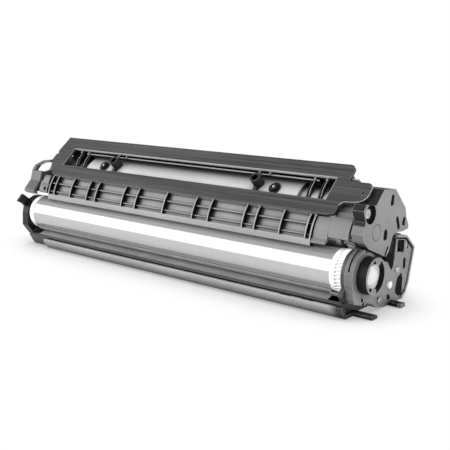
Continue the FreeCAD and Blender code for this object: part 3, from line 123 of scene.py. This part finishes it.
class Shader(Nodes):
    """A principled material with helpers for the patterns that it is made of."""

    def __init__(self, name, roughness, **constants):
        self.material = bpy.data.materials.new(name)
        self.material.use_nodes = True
        super().__init__(self.material.node_tree)
        self.bsdf = self.node("BsdfPrincipled")
        self.end_with("OutputMaterial", self.bsdf.outputs["BSDF"])
        self.surface(Roughness=roughness, **constants)
        self.place = self.node("TexCoord").outputs["Object"]

    def surface(self, **values):
        """Feed inputs of the principled shader. An underscore stands for a space."""
        for name, value in values.items():
            self.feed(self.bsdf.inputs[name.replace("_", " ")], value)

    def noise(self, scale, detail=2.0, rough=0.5, stretch=(1, 1, 1)):
        """Noise over the object's coordinates, finer along an axis with a larger stretch."""
        mapping = self.node("Mapping")
        mapping.inputs["Scale"].default_value = stretch
        self.feed(mapping.inputs["Vector"], self.place)
        noise = self.node("TexNoise")
        noise.inputs["Scale"].default_value = scale
        noise.inputs["Detail"].default_value = detail
        noise.inputs["Roughness"].default_value = rough
        self.feed(noise.inputs["Vector"], mapping.outputs["Vector"])
        return noise.outputs["Fac"]

    def mix(self, first, second, factor):
        """A colour between two others, each given as three numbers or as an output."""
        node = self.node("Mix", data_type="RGBA")
        self.feed(node.inputs[0], factor)
        # the node's inputs 6 and 7 and its output 2 are its colours
        for socket, colour in ((node.inputs[6], first), (node.inputs[7], second)):
            plain = not isinstance(colour, bpy.types.NodeSocket)
            self.feed(socket, (*colour, 1.0) if plain else colour)
        return node.outputs[2]

    def bump(self, height, strength, distance, normal=None):
        node = self.node("Bump")
        node.inputs["Strength"].default_value = strength
        node.inputs["Distance"].default_value = distance
        self.feed(node.inputs["Height"], height)
        if normal is not None:
            self.feed(node.inputs["Normal"], normal)
        return node.outputs["Normal"]

    def edges(self, radius):
        """A rounded normal for sharp edges, and a mask that is 1 along them."""
        bevel = self.node("Bevel", samples=6)
        bevel.inputs["Radius"].default_value = radius
        flat = self.node("NewGeometry").outputs["True Normal"]
        likeness = self.vector_maths("DOT_PRODUCT", bevel.outputs["Normal"], flat)
        return bevel.outputs["Normal"], self.remap(likeness, 0.985, 0.8)

    def shaded(self, colour, reach=0.007, darkest=0.16, span=(0.25, 0.85)):
        """A colour darkened with painted shade in corners and recesses, from ambient occlusion."""
        occlusion = self.node("AmbientOcclusion", samples=6)
        occlusion.inputs["Distance"].default_value = reach
        product = self.node("VectorMath", operation="SCALE")
        self.feed(product.inputs[0], colour)
        self.feed(product.inputs["Scale"], self.remap(occlusion.outputs["AO"], *span, darkest, 1.0))
        return product.outputs["Vector"]

    def clouded(self, tone, spread):
        """A grey that varies in faint wide clouds, drawn out along X."""
        clouds = self.remap(self.noise(38.0, 4.0, 0.6, (0.35, 1, 1)), 0.3, 0.7)
        return self.mix(grey(tone * (1 - spread), 0.01), grey(tone * (1 + spread), 0.01), clouds)

    def drawn_lines(self, body, tone, most):
        """Fine pale lines along X, as on a moulding that was drawn from its tool."""
        lines = self.remap(self.noise(1.0, 3.0, 0.6, (6, 900, 900)), 0.42, 0.66, 0.0, most)
        return self.mix(body, grey(tone), lines)

    def moulded(self, bevel, roughness, grain, depth):
        """Moulded grain over the rounded edges, and a shine that varies a little."""
        shine = self.remap(self.noise(90.0, 3.0, 0.6), 0.3, 0.7, roughness - 0.06, roughness + 0.07)
        fine = self.noise(grain, 2.0, 0.55)
        self.surface(Roughness=shine, Normal=self.bump(fine, 0.5, depth, bevel))

    def coordinate(self, axis):
        """One of the object's coordinates in metres."""
        apart = self.node("SeparateXYZ")
        self.feed(apart.inputs[0], self.place)
        return apart.outputs[axis]

    def facing_x(self):
        """1 where a face stands square to X, 0 where it runs along it."""
        apart = self.node("SeparateXYZ")
        self.feed(apart.inputs[0], self.node("NewGeometry").outputs["True Normal"])
        return self.maths("ABSOLUTE", apart.outputs["X"])

    def from_axis(self, y, z):
        """The distance in metres from an axis along X through a place in the cross-section."""
        centred = self.vector_maths("SUBTRACT", self.place, at(0.0, y, z))
        across = self.vector_maths("MULTIPLY", centred, (0.0, 1.0, 1.0))
        return self.vector_maths("LENGTH", across)

    def outwards(self, angle):
        """The distance in metres from the drum's axis, square to X, in a direction in degrees."""
        turn = math.radians(angle)
        centred = self.vector_maths("SUBTRACT", self.place, at(0.0, *DRUM_AXIS))
        return self.vector_maths("DOT_PRODUCT", centred, (0.0, math.cos(turn), math.sin(turn)))

    def step(self, distance, start, end, before=0.0, after=1.0):
        """A number that changes where a distance in metres lies between two in millimetres."""
        return self.remap(distance, start / 1000, end / 1000, before, after)

    def stations(self, start, end, before=0.0, after=1.0):
        """A number that changes between two stations along X, in millimetres."""
        return self.remap(self.coordinate("X"), at(start, 0, 0).x, at(end, 0, 0).x, before, after)


def grey(value, tint=0.0):
    """A grey, cooler with a larger tint."""
    return (value * (1 - tint), value, value * (1 + tint))


def plastic(name, tone, edge_tone, roughness=0.34, grain=2600.0, depth=0.00004, edge_radius=0.0004,
            coat=0.0, darkest=0.16, streaks=0.0, sheen=0.5):
    """Moulded plastic: fine grain, faint flow marks, painted highlights along the edges and painted
    shade in corners.
    """
    shader = Shader(
        name, roughness, Coat_Weight=coat, Coat_Roughness=0.2, Specular_IOR_Level=sheen
    )
    body = shader.clouded(tone, 0.18)
    if streaks:
        body = shader.drawn_lines(body, edge_tone, streaks)
    bevel, edge = shader.edges(edge_radius)
    # painted highlight: the edges are made paler, broken up by noise
    highlight_breakup = shader.remap(shader.noise(420.0, 3.0, 0.65), 0.3, 0.62, 0.25, 1.0)
    edge_lit = shader.mix(body, grey(edge_tone), shader.maths("MULTIPLY", edge, highlight_breakup))
    shader.surface(Base_Color=shader.shaded(edge_lit, darkest=darkest))
    shader.moulded(bevel, roughness, grain, depth)
    return shader.material


def two_tone(name, tone, dark_tone, edge_tone, mask, roughness=0.34, reach=0.007, marks_and_painted_light=None,
             span=(0.25, 0.85)):
    """Moulded plastic that changes from one tone to a darker, duller one where a mask is 1, with
    painted highlights along its edges and painted shade in corners.
    """
    shader = Shader(name, roughness)
    darker = mask(shader)
    body = shader.mix(shader.clouded(tone, 0.14), shader.clouded(dark_tone, 0.2), darker)
    bevel, edge = shader.edges(0.0004)
    if marks_and_painted_light:
        body = marks_and_painted_light(shader, body)
    # painted highlight along the edges
    edge_lit = shader.mix(body, grey(edge_tone), edge)
    shader.surface(
        Base_Color=shader.shaded(edge_lit, reach, 0.08, span),
        Specular_IOR_Level=shader.remap(darker, 0.0, 1.0, 0.5, 0.12),
    )
    shader.moulded(bevel, roughness, 2600.0, 0.00004)
    return shader.material


def across_the_fins(shader):
    """Painted shade: 1 on the side faces of the fins, which stand square to X."""
    return shader.remap(shader.facing_x(), 0.4, 0.6)


def off_the_arch(shader):
    """1 away from the hopper's round surfaces, 0 on them."""
    return shader.step(shader.from_axis(*ARCH_AXIS), 22.15, 22.4)


def on_the_hub(shader):
    """Painted shade: 1 on the hub's round wall, a half on the plate's skirt, 0 on both end faces."""
    off_the_plate = shader.stations(END_FACE, END_FACE + 0.4)
    off_the_face = shader.stations(HUB_EDGE, HUB_EDGE + 0.25, 1.0, 0.0)
    wall = shader.maths("MULTIPLY", off_the_plate, off_the_face)
    skirt = shader.remap(shader.facing_x(), 0.4, 0.6, 0.5, 0.0)
    return shader.maths("MAXIMUM", skirt, wall)


def off_the_end_face(shader):
    """Painted shade: 1 on a cover's upper sides and in its screw recess, 0 on its end face and lower
    front.
    """
    flanks = shader.remap(shader.facing_x(), 0.4, 0.6, 1.0, 0.0)
    foot = at(0.0, 0.0, 32.0).z
    high = shader.remap(shader.coordinate("Z"), foot, foot + 0.0005, 0.45, 1.0)
    near = shader.step(shader.from_axis(*COVER_SCREW), 6.65, 6.8, 1.0, 0.0)
    sunk = shader.stations(END_FACE - 0.4, END_FACE - 0.1, 1.0, 0.0)
    upper = shader.maths("MULTIPLY", flanks, high)
    recess = shader.maths("MULTIPLY", near, sunk)
    return shader.maths("MAXIMUM", upper, recess)


def at_the_drive_end(shader):
    """1 on the rail's last stretch and its prong."""
    return shader.stations(160.0, 166.0)


def lid_painted_light(shader, body):
    """Painted shade darkens the arch to the back, and painted highlights lie along the tops of the
    ribs and the rail.
    """
    along = shader.outwards(PLATE_TILT)
    height = shader.outwards(PLATE_TILT + 90.0)
    # painted shade towards the back of the arch
    body = shader.mix(body, grey(0.035), shader.step(along, 38.0, 52.0, 0.0, 0.93))
    # painted shade: from the window's first rib on the left the arch is dark to its end
    body = shader.mix(body, grey(0.02), shader.stations(-120.5, -118.5, 0.93, 0.0))
    # painted highlight on the tops of the ribs and the rail
    tops = shader.maths("MULTIPLY", shader.step(height, 23.7, 23.9), shader.step(along, 52.5, 52.7))
    return shader.mix(body, grey(0.42), tops)


def rail_lines(shader, body):
    return shader.drawn_lines(body, 0.4, 0.22)


def fin_painted_shadows(shader, body):
    """Painted shadow in the lee of each fin, on its drive side."""
    fin_shadow = 0.0
    for fin in FINS:
        start = shader.stations(fin + 0.2, fin + 0.6)
        end = shader.stations(fin + 1.4, fin + 3.6, 0.9, 0.0)
        fin_shadow = shader.maths("MAXIMUM", fin_shadow, shader.maths("MULTIPLY", start, end))
    behind_the_lip = shader.step(shader.outwards(GUIDE_TILT), 12.8, 13.2)
    return shader.mix(body, grey(0.018), shader.maths("MULTIPLY", behind_the_lip, fin_shadow))


def drum_coating():
    """Coated aluminium, glossy over a pale body, with faint rings where the blade has run."""
    shader = Shader("drum_coating", 0.07, Metallic=0.52, Coat_Weight=0.3, Coat_Roughness=0.04)
    rings = shader.noise(1.0, 3.0, 0.6, (900, 3, 3))
    body = shader.mix(grey(0.45, 0.01), grey(0.48, 0.01), shader.remap(rings, 0.35, 0.65))
    clouds = shader.remap(shader.noise(14.0, 3.0), 0.35, 0.65, 0.0, 0.25)
    shader.surface(
        Base_Color=shader.mix(body, grey(0.42, 0.01), clouds),
        Roughness=shader.remap(rings, 0.3, 0.7, 0.05, 0.09),
        Normal=shader.bump(rings, 0.06, 0.00001),
    )
    return shader.material


def steel(name, tone, roughness, stretch):
    """Bright metal with fine drawn lines and painted highlights along its edges."""
    shader = Shader(name, roughness, Metallic=1.0)
    lines = shader.noise(1.0, stretch=stretch)
    body = shader.mix(grey(tone * 0.86), grey(tone * 1.12), shader.remap(lines, 0.3, 0.7))
    bevel, edge = shader.edges(0.0002)
    # painted highlight along the edges
    shader.surface(
        Base_Color=shader.mix(body, grey(tone * 1.25), edge),
        Roughness=shader.remap(lines, 0.3, 0.7, roughness * 0.75, roughness * 1.3),
        Normal=shader.bump(lines, 0.12, 0.00002, bevel),
    )
    return shader.material


def rubber(name, tone, roughness):
    """Matt rubber or felt with fine pores and pale dust."""
    shader = Shader(name, roughness, Sheen_Weight=0.15)
    dusty_tone = tuple(channel * 1.6 + 0.02 for channel in tone)
    dust = shader.remap(shader.noise(60.0, 4.0, 0.65), 0.4, 0.75, 0.0, 0.5)
    shader.surface(
        Base_Color=shader.mix(tone, dusty_tone, dust),
        Normal=shader.bump(shader.noise(1600.0, 3.0, 0.6), 0.5, 0.00004),
    )
    return shader.material


def film(name, tone):
    """Glossy plastic sheet with shallow waves."""
    shader = Shader(name, 0.22, Specular_IOR_Level=0.6)
    waves = shader.noise(25.0, stretch=(0.3, 1, 1))
    shader.surface(
        Base_Color=shader.mix(grey(tone * 0.85), grey(tone * 1.1), shader.remap(waves, 0.3, 0.7)),
        Normal=shader.bump(waves, 0.2, 0.0002),
    )
    return shader.material


MATERIALS = {
    "shell_plastic": plastic("shell_plastic", 0.04, 0.20, roughness=0.40, depth=0.00005),
    "plate_plastic": plastic(
        "plate_plastic", 0.031, 0.50, roughness=0.38, grain=2400.0, streaks=0.085
    ),
    "hopper_plastic": plastic("hopper_plastic", 0.075, 0.16, depth=0.00003),
    "lid_plastic": two_tone(
        "lid_plastic", 0.62, 0.02, 0.2, off_the_arch, reach=0.009, marks_and_painted_light=lid_painted_light
    ),
    "guide_plastic": two_tone(
        "guide_plastic", 0.27, 0.006, 0.36, across_the_fins, reach=0.012, marks_and_painted_light=fin_painted_shadows,
        span=(0.45, 0.92),
    ),
    "panel_plastic": plastic("panel_plastic", 0.16, 0.40),
    "cover_plastic": two_tone("cover_plastic", 0.26, 0.02, 0.5, off_the_end_face, roughness=0.38),
    "clip_plastic": plastic("clip_plastic", 0.10, 0.40, roughness=0.36),
    "housing_plastic": two_tone("housing_plastic", 0.23, 0.008, 0.6, on_the_hub),
    "rail_plastic": two_tone(
        "rail_plastic", 0.26, 0.012, 0.40, at_the_drive_end, marks_and_painted_light=rail_lines
    ),
    # a pale tone for painted highlights on rims, lips and crests
    "painted_highlight_plastic": plastic("painted_highlight_plastic", 0.42, 0.5, depth=0.00002, darkest=0.6),
    "bracket_plastic": plastic("bracket_plastic", 0.008, 0.07, depth=0.00005, sheen=0.25),
    # near black, for painted shade in openings and gaps
    "painted_shade_plastic": plastic(
        "painted_shade_plastic", 0.004, 0.006, roughness=0.6, depth=0.00002, sheen=0.05
    ),
    "white_plastic": plastic(
        "white_plastic", 0.92, 0.94, grain=2200.0, depth=0.00002, edge_radius=0.00025, coat=0.2,
        darkest=0.78,
    ),
    "bearing_plastic": plastic(
        "bearing_plastic", 0.42, 0.5, roughness=0.4, grain=2200.0, depth=0.00003,
        edge_radius=0.00025,
    ),
    "magnet": plastic("magnet", 0.05, 0.08, roughness=0.6, grain=1500.0, depth=0.00005),
    "drum_coating": drum_coating(),
    "sleeve_metal": steel("sleeve_metal", 0.32, 0.45, (2500, 2500, 2500)),
    "bright_steel": steel("bright_steel", 0.62, 0.26, (120, 2600, 2600)),
    "dark_steel": steel("dark_steel", 0.04, 0.3, (120, 2600, 2600)),
    "copper": steel("copper", 0.6, 0.3, (2600, 120, 120)),
    "felt": rubber("felt", (0.20, 0.20, 0.205), 0.8),
    "black_rubber": rubber("black_rubber", (0.02, 0.02, 0.021), 0.6),
    "blade_rubber": rubber("blade_rubber", (0.5, 0.33, 0.14), 0.45),
    "film": film("film", 0.2),
}

# Nodes that the studio shows in another tone or finish than their slot's own
TONES = {
    "hopper_lid": "lid_plastic",
    "front_guide": "guide_plastic",
    "right_guide_strip": "panel_plastic",
    "right_front_panel": "panel_plastic",
    "left_front_panel": "panel_plastic",
    "right_end_cover": "cover_plastic",
    "left_end_cover": "clip_plastic",
    "right_bearing_housing": "housing_plastic",
    "lower_guide_rail": "rail_plastic",
    "left_bracket": "bracket_plastic",
    "recovery_sheet": "felt",
    "lid_screw_washers": "dark_steel",
    "lid_screws": "dark_steel",
    "developer_gear": "bearing_plastic",
}

slot_of = {row["node"]: row["material_slot"] for row in frame["record"]["subparts"]}
for name, node in frame["nodes"].items():
    node.data.materials.clear()
    node.data.materials.append(MATERIALS[TONES.get(name, slot_of[name])])


# Pieces that the studio picture needs and the solids leave out

def tilted_at(tilt, station, along, height):
    """A point given along and above a plane that is tilted about the drum's axis."""
    turn = math.radians(tilt)
    back = along * math.cos(turn) - height * math.sin(turn)
    up = along * math.sin(turn) + height * math.cos(turn)
    return at(station, back, up)


def add_piece(name, bm, body, material, bevel=0.00012):
    """Turn a mesh into an object that rides on one of the bodies."""
    bmesh.ops.remove_doubles(bm, verts=bm.verts, dist=1e-7)
    bmesh.ops.recalc_face_normals(bm, faces=bm.faces)
    mesh = bpy.data.meshes.new(name)
    bm.to_mesh(mesh)
    bm.free()
    piece = bpy.data.objects.new(name, mesh)
    bpy.context.scene.collection.objects.link(piece)
    mesh.materials.append(MATERIALS[material])
    if bevel:
        rounding = piece.modifiers.new("rounding", "BEVEL")
        rounding.width = bevel
        rounding.segments = 2
        rounding.limit_method = "ANGLE"
    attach(piece, body)


def prism(bm, start, end):
    """A solid between two outlines with as many points."""
    low = [bm.verts.new(point) for point in start]
    high = [bm.verts.new(point) for point in end]
    bm.faces.new(low)
    bm.faces.new(high[::-1])
    count = len(low)
    for index in range(count):
        after = (index + 1) % count
        bm.faces.new((low[index], low[after], high[after], high[index]))


def tilted_prism(bm, tilt, section, start, end):
    """A solid along X, with its section given in a tilted plane."""
    prism(bm, *[[tilted_at(tilt, station, *point) for point in section] for station in (start, end)])


def level_prism(bm, section, start, end):
    """A solid along X, with its section given in the cross-section."""
    prism(bm, *[[at(station, *point) for point in section] for station in (start, end)])


def arc(centre, radius, start, end, steps=8):
    """Points of the cross-section on an arc from one angle to another, in degrees."""
    angles = [math.radians(start + (end - start) * step / steps) for step in range(steps + 1)]
    return [
        (centre[0] + radius * math.cos(angle), centre[1] + radius * math.sin(angle))
        for angle in angles
    ]


def capsule(first, last, radius):
    """A rounded slot's outline between two points of the cross-section."""
    heading = math.degrees(math.atan2(last[1] - first[1], last[0] - first[0]))
    far_end = arc(last, radius, heading - 90, heading + 90)
    near_end = arc(first, radius, heading + 90, heading + 270)
    return far_end + near_end


def towards(points, centre, share):
    """The points moved towards a centre by a share of their distance."""
    return [(y + (centre[0] - y) * share, z + (centre[1] - z) * share) for y, z in points]


def build_guide_ribs():
    """Two long ribs across the fins, rounded on top and undercut below."""
    foot = 15.0
    ribs = bmesh.new()
    for along, top in ((16.6, 17.0), (24.0, 17.3)):
        section = [
            (along - 0.45, foot), (along - 0.5, top - 0.3), (along - 0.2, top),
            (along + 0.3, top - 0.1), (along + 0.75, top - 0.8), (along + 0.9, foot),
        ]
        tilted_prism(ribs, GUIDE_TILT, section, -141.8, 138.5)
    add_piece("guide_long_ribs", ribs, "toner_unit", "guide_plastic")


def build_window_details():
    """Ribs at the window's ends, webs under the bosses, and a pale painted highlight on the rim of
    the opening and the rib crests.
    """
    half_rib, half_web = 0.5, 1.5
    boss = 76.1
    ribs = bmesh.new()
    crest = [(41.0, 21.6), (46.0, 23.6), (53.2, 23.9)]
    rib = [(36.4, 17.6), *crest, (53.2, 14.0), (36.4, 14.0)]
    web = [(36.0, 22.4), (36.0, 25.2), (40.4, 26.4), (40.4, 23.0)]
    for side in (-1, 1):
        for station in (118.6, 120.8, 128.6, 130.7):
            tilted_prism(ribs, PLATE_TILT, rib, side * station - half_rib, side * station + half_rib)
        tilted_prism(ribs, PLATE_TILT, web, side * boss - half_web, side * boss + half_web)
    add_piece("window_ribs", ribs, "toner_unit", "bracket_plastic")
    rim = bmesh.new()
    back = [(54.95, 25.7), (55.25, 25.7), (55.3, PLATE_TOP), (54.9, PLATE_TOP - 0.04)]
    tilted_prism(rim, PLATE_TILT, back, -139.6, 139.6)
    flank = [(35.6, 27.5), (55.1, 27.5), (55.1, PLATE_TOP), (35.6, PLATE_TOP)]
    for station in (-139.7, 139.3):
        tilted_prism(rim, PLATE_TILT, flank, station, station + 0.25)
    # painted highlight along the left edge of the crests of two ribs on each side
    lit_crest = crest + [(53.2, 24.1), (46.0, 23.9), (41.0, 21.9)]
    for station in (120.8, 130.7, -120.8, -130.7):
        tilted_prism(rim, PLATE_TILT, lit_crest, station - half_rib, station - 0.1)
    add_piece("window_rim", rim, "toner_unit", "painted_highlight_plastic")


def build_rail_details():
    """A pale painted highlight along the rail's upper lip, and the felt that closes the gap under
    the drum.
    """
    lip = bmesh.new()
    edge = [
        (-18.32, -20.45), (-18.32, -20.1), (-18.05, -19.95), (-17.5, -19.85), (-17.5, -20.1),
        (-18.0, -20.2),
    ]
    level_prism(lip, edge, -140.0, 160.0)
    add_piece("rail_lip", lip, "drum_unit", "painted_highlight_plastic", 0)
    felt = bmesh.new()
    # the long strip under the drum, and the thinner, short one under its gear
    for inner, outer, left, right in ((15.35, 16.2, -156.0, 157.0), (17.0, 17.6, 157.0, 164.5)):
        strip = arc(DRUM_AXIS, inner, 226, 262) + arc(DRUM_AXIS, outer, 262, 226)
        level_prism(felt, strip, left, right)
    add_piece("drum_felt", felt, "drum_unit", "felt", 0)


def build_painted_slot_shade():
    """Painted shade: near-black fillers in the openings of the drive end's plates."""
    sunk, proud = 0.4, 0.05
    # each slot has the centres of its two round ends and its radius
    slots = {
        "toner_unit": [
            ((31.2, 42.8), (32.4, 47.0), 1.7), ((39.8, 31.0), (42.2, 24.8), 1.7),
            ((49.9, 29.0), (49.0, 26.6), 1.8), ((24.2, 24.0), (23.6, 20.8), 2.2),
            ((27.8, 13.2), (27.2, 12.2), 0.9), ((26.5, 11.0), (26.1, 10.2), 0.9),
            ((25.1, 8.8), (24.7, 8.0), 0.9),
        ],
        "drum_unit": [
            ((53.1, -0.6), (53.1, -4.0), 1.9), ((47.2, -14.4), (45.6, -19.6), 4.4),
            ((-4.0, -15.9), (-4.0, -16.7), 1.5), ((16.9, -20.0), (16.9, -20.3), 0.9),
            ((30.8, -21.4), (31.0, -22.4), 1.3), ((44.2, 13.2), (49.4, 8.4), 2.6),
        ],
    }
    for body, shapes in slots.items():
        bm = bmesh.new()
        for first, last, radius in shapes:
            level_prism(bm, capsule(first, last, radius), END_FACE - sunk, END_FACE + proud)
        add_piece(f"{body}_painted_slot_shade", bm, body, "painted_shade_plastic", 0)


def build_housing_rim():
    """The bearing housing's raised rim and two small rings in the pale painted-highlight tone, and
    the groove inside the rim in near-black painted shade.
    """
    border = [
        (49.6, -27.6), (55.6, -24.3), (59.0, -18.0), (66.2, 7.0), (54.1, 17.0), (40.3, 19.4),
    ]
    middle = (47.5, -4.0)
    inner_border = towards(border, middle, 0.055)
    rim = bmesh.new()
    level_prism(rim, border + inner_border[::-1], END_FACE, END_FACE + 1.0)
    for centre in ((-4.0, -16.3), (41.3, -4.9)):
        for start in (0, 180):
            outer = arc(centre, 2.2, start, start + 180, 10)
            inner = arc(centre, 1.7, start, start + 180, 10)
            level_prism(rim, outer + inner[::-1], END_FACE, END_FACE + 0.4)
    add_piece("housing_rim", rim, "drum_unit", "painted_highlight_plastic", 0)
    proud = 0.06
    # painted shade: a near-black sheet in the groove inside the rim
    groove = bmesh.new()
    groove_border = inner_border + towards(border, middle, 0.12)[::-1]
    level_prism(groove, groove_border, END_FACE, END_FACE + proud)
    # painted shade: a near-black sheet over the gap in front of the rim
    gap = [
        (40.1, 18.2), (37.1, 15.5), (34.5, 7.8), (27.2, 5.7), (30.5, 0.5), (34.6, -4.2),
        (37.2, -0.9), (36.4, 7.5), (39.5, 14.5),
    ]
    level_prism(groove, gap, END_FACE, END_FACE + proud)
    add_piece("housing_groove_shade", groove, "drum_unit", "painted_shade_plastic", 0)


def build_ear_rim():
    """A pale painted highlight along the rim of the plate's right ear."""
    width, thickness = 0.4, 0.38
    outer = [
        (151.3, 32.4), (153.5, 35.4), (160.4, 36.0), (164.4, 36.9), (167.2, 38.6), (168.9, 41.2),
        (169.4, 43.5), (169.4, 47.2), (169.1, 49.6), (168.2, 51.6),
    ]
    rim = bmesh.new()
    for (x0, y0), (x1, y1) in zip(outer, outer[1:]):
        length = math.hypot(x1 - x0, y1 - y0)
        inward = ((y0 - y1) / length * width, (x1 - x0) / length * width)
        corners = [
            (x0, y0), (x1, y1), (x1 + inward[0], y1 + inward[1]), (x0 + inward[0], y0 + inward[1]),
        ]
        under = [tilted_at(PLATE_TILT, x, y, PLATE_TOP - thickness) for x, y in corners]
        over = [tilted_at(PLATE_TILT, x, y, PLATE_TOP) for x, y in corners]
        prism(rim, under, over)
    add_piece("ear_rim", rim, "toner_unit", "painted_highlight_plastic", 0)


def build_screw_shine():
    """Painted highlights: bright domes in the middle of the lid screws' dark heads."""
    station, along, top = 91.6, 42.3, 26.25
    flatness = 0.35
    shine = bmesh.new()
    for side in (-1, 1):
        seat = tilted_at(PLATE_TILT, side * station, along, top)
        turned = Matrix.Translation(seat) @ Matrix.Rotation(math.radians(PLATE_TILT), 4, "X")
        flat = turned @ Matrix.Diagonal((1.0, 1.0, flatness, 1.0))
        bmesh.ops.create_uvsphere(shine, u_segments=20, v_segments=10, radius=0.0012, matrix=flat)
    add_piece("screw_shine", shine, "toner_unit", "bright_steel", 0)


build_guide_ribs()
build_window_details()
build_rail_details()
build_painted_slot_shade()
build_housing_rim()
build_ear_rim()
build_screw_shine()


# Floor, light and camera

def floor_paper():
    """Paper that takes the part's shadow near it, with a painted contact shadow in its glow, and is
    plain white to the camera further out.
    """
    material = bpy.data.materials.new("floor_white")
    material.use_nodes = True
    nodes = Nodes(material.node_tree)
    paper = nodes.node("BsdfDiffuse")
    paper.inputs["Color"].default_value = (0.9, 0.9, 0.9, 1)
    # painted contact shadow: the glow dims where ambient occlusion finds the part
    contact = nodes.node("AmbientOcclusion", samples=12)
    contact.inputs["Distance"].default_value = 0.065
    glow = nodes.node("Emission")
    nodes.feed(glow.inputs["Strength"], nodes.remap(contact.outputs["AO"], 0.3, 0.82, 0.42, 1.0))
    path = nodes.node("LightPath")
    seen = nodes.maths("MAXIMUM", path.outputs["Is Camera Ray"], path.outputs["Is Glossy Ray"])
    # the paper's own shade shows near the part and fades out into the white ground
    place = nodes.node("TexCoord").outputs["Object"]
    away = nodes.vector_maths("LENGTH", nodes.vector_maths("MULTIPLY", place, (0.5, 1.0, 1.0)))
    share = nodes.maths("MULTIPLY", seen, nodes.remap(away, 0.03, 0.11, 0.92, 1.0))
    mixed = nodes.mix_shaders(paper.outputs["BSDF"], glow.outputs["Emission"], share)
    nodes.end_with("OutputMaterial", mixed)
    return material


def build_floor():
    """A wide square of paper just under the part."""
    half = 6.0
    corners = [(-half, -half, 0), (half, -half, 0), (half, half, 0), (-half, half, 0)]
    mesh = bpy.data.meshes.new("floor")
    mesh.from_pydata(corners, [], [(0, 1, 2, 3)])
    mesh.materials.append(floor_paper())
    floor = bpy.data.objects.new("floor", mesh)
    bpy.context.scene.collection.objects.link(floor)
    floor.location.z = -0.0002


def build_world():
    """An even fill on the part in front of a white background."""
    world = bpy.data.worlds.new("studio")
    bpy.context.scene.world = world
    world.use_nodes = True
    nodes = Nodes(world.node_tree)
    lights = []
    for strength in (0.42, 1.0):
        light = nodes.node("Background")
        light.inputs["Color"].default_value = (1, 1, 1, 1)
        light.inputs["Strength"].default_value = strength
        lights.append(light.outputs["Background"])
    seen = nodes.node("LightPath").outputs["Is Camera Ray"]
    nodes.end_with("OutputWorld", nodes.mix_shaders(*lights, seen))


def softbox(name, centre, target, width, height, radiance):
    """A rectangular studio light of a given brightness that faces a target."""
    light = bpy.data.lights.new(name, "AREA")
    light.shape = "RECTANGLE"
    light.size = width
    light.size_y = height
    light.energy = radiance * math.pi * width * height
    lamp = bpy.data.objects.new(name, light)
    bpy.context.scene.collection.objects.link(lamp)
    lamp.location = centre
    lamp.rotation_euler = (Vector(target) - Vector(centre)).to_track_quat("-Z", "Y").to_euler()


def build_camera():
    """The photograph's view."""
    camera = bpy.data.cameras.new("camera")
    camera.sensor_width = 36.0
    camera.lens = 62.0
    camera.clip_start = 0.01
    camera.clip_end = 50
    holder = bpy.data.objects.new("camera", camera)
    bpy.context.scene.collection.objects.link(holder)
    holder.location = at(418.96, -429.78, 135.42)
    forward = Vector((-0.6304862, 0.7482488, -0.2064241))
    holder.rotation_euler = forward.to_track_quat("-Z", "Y").to_euler()
    bpy.context.scene.camera = holder


build_floor()
build_world()
softbox("key", (-1.5, -1.0, 0.9), (-1.5, 0.0, 0.9), width=4.6, height=1.8, radiance=2.2)
softbox("right", (1.7, -0.3, 0.55), (0, -0.01, 0.04), width=1.2, height=1.2, radiance=2.2)
build_camera()

bpy.context.scene.view_settings.view_transform = "Standard"
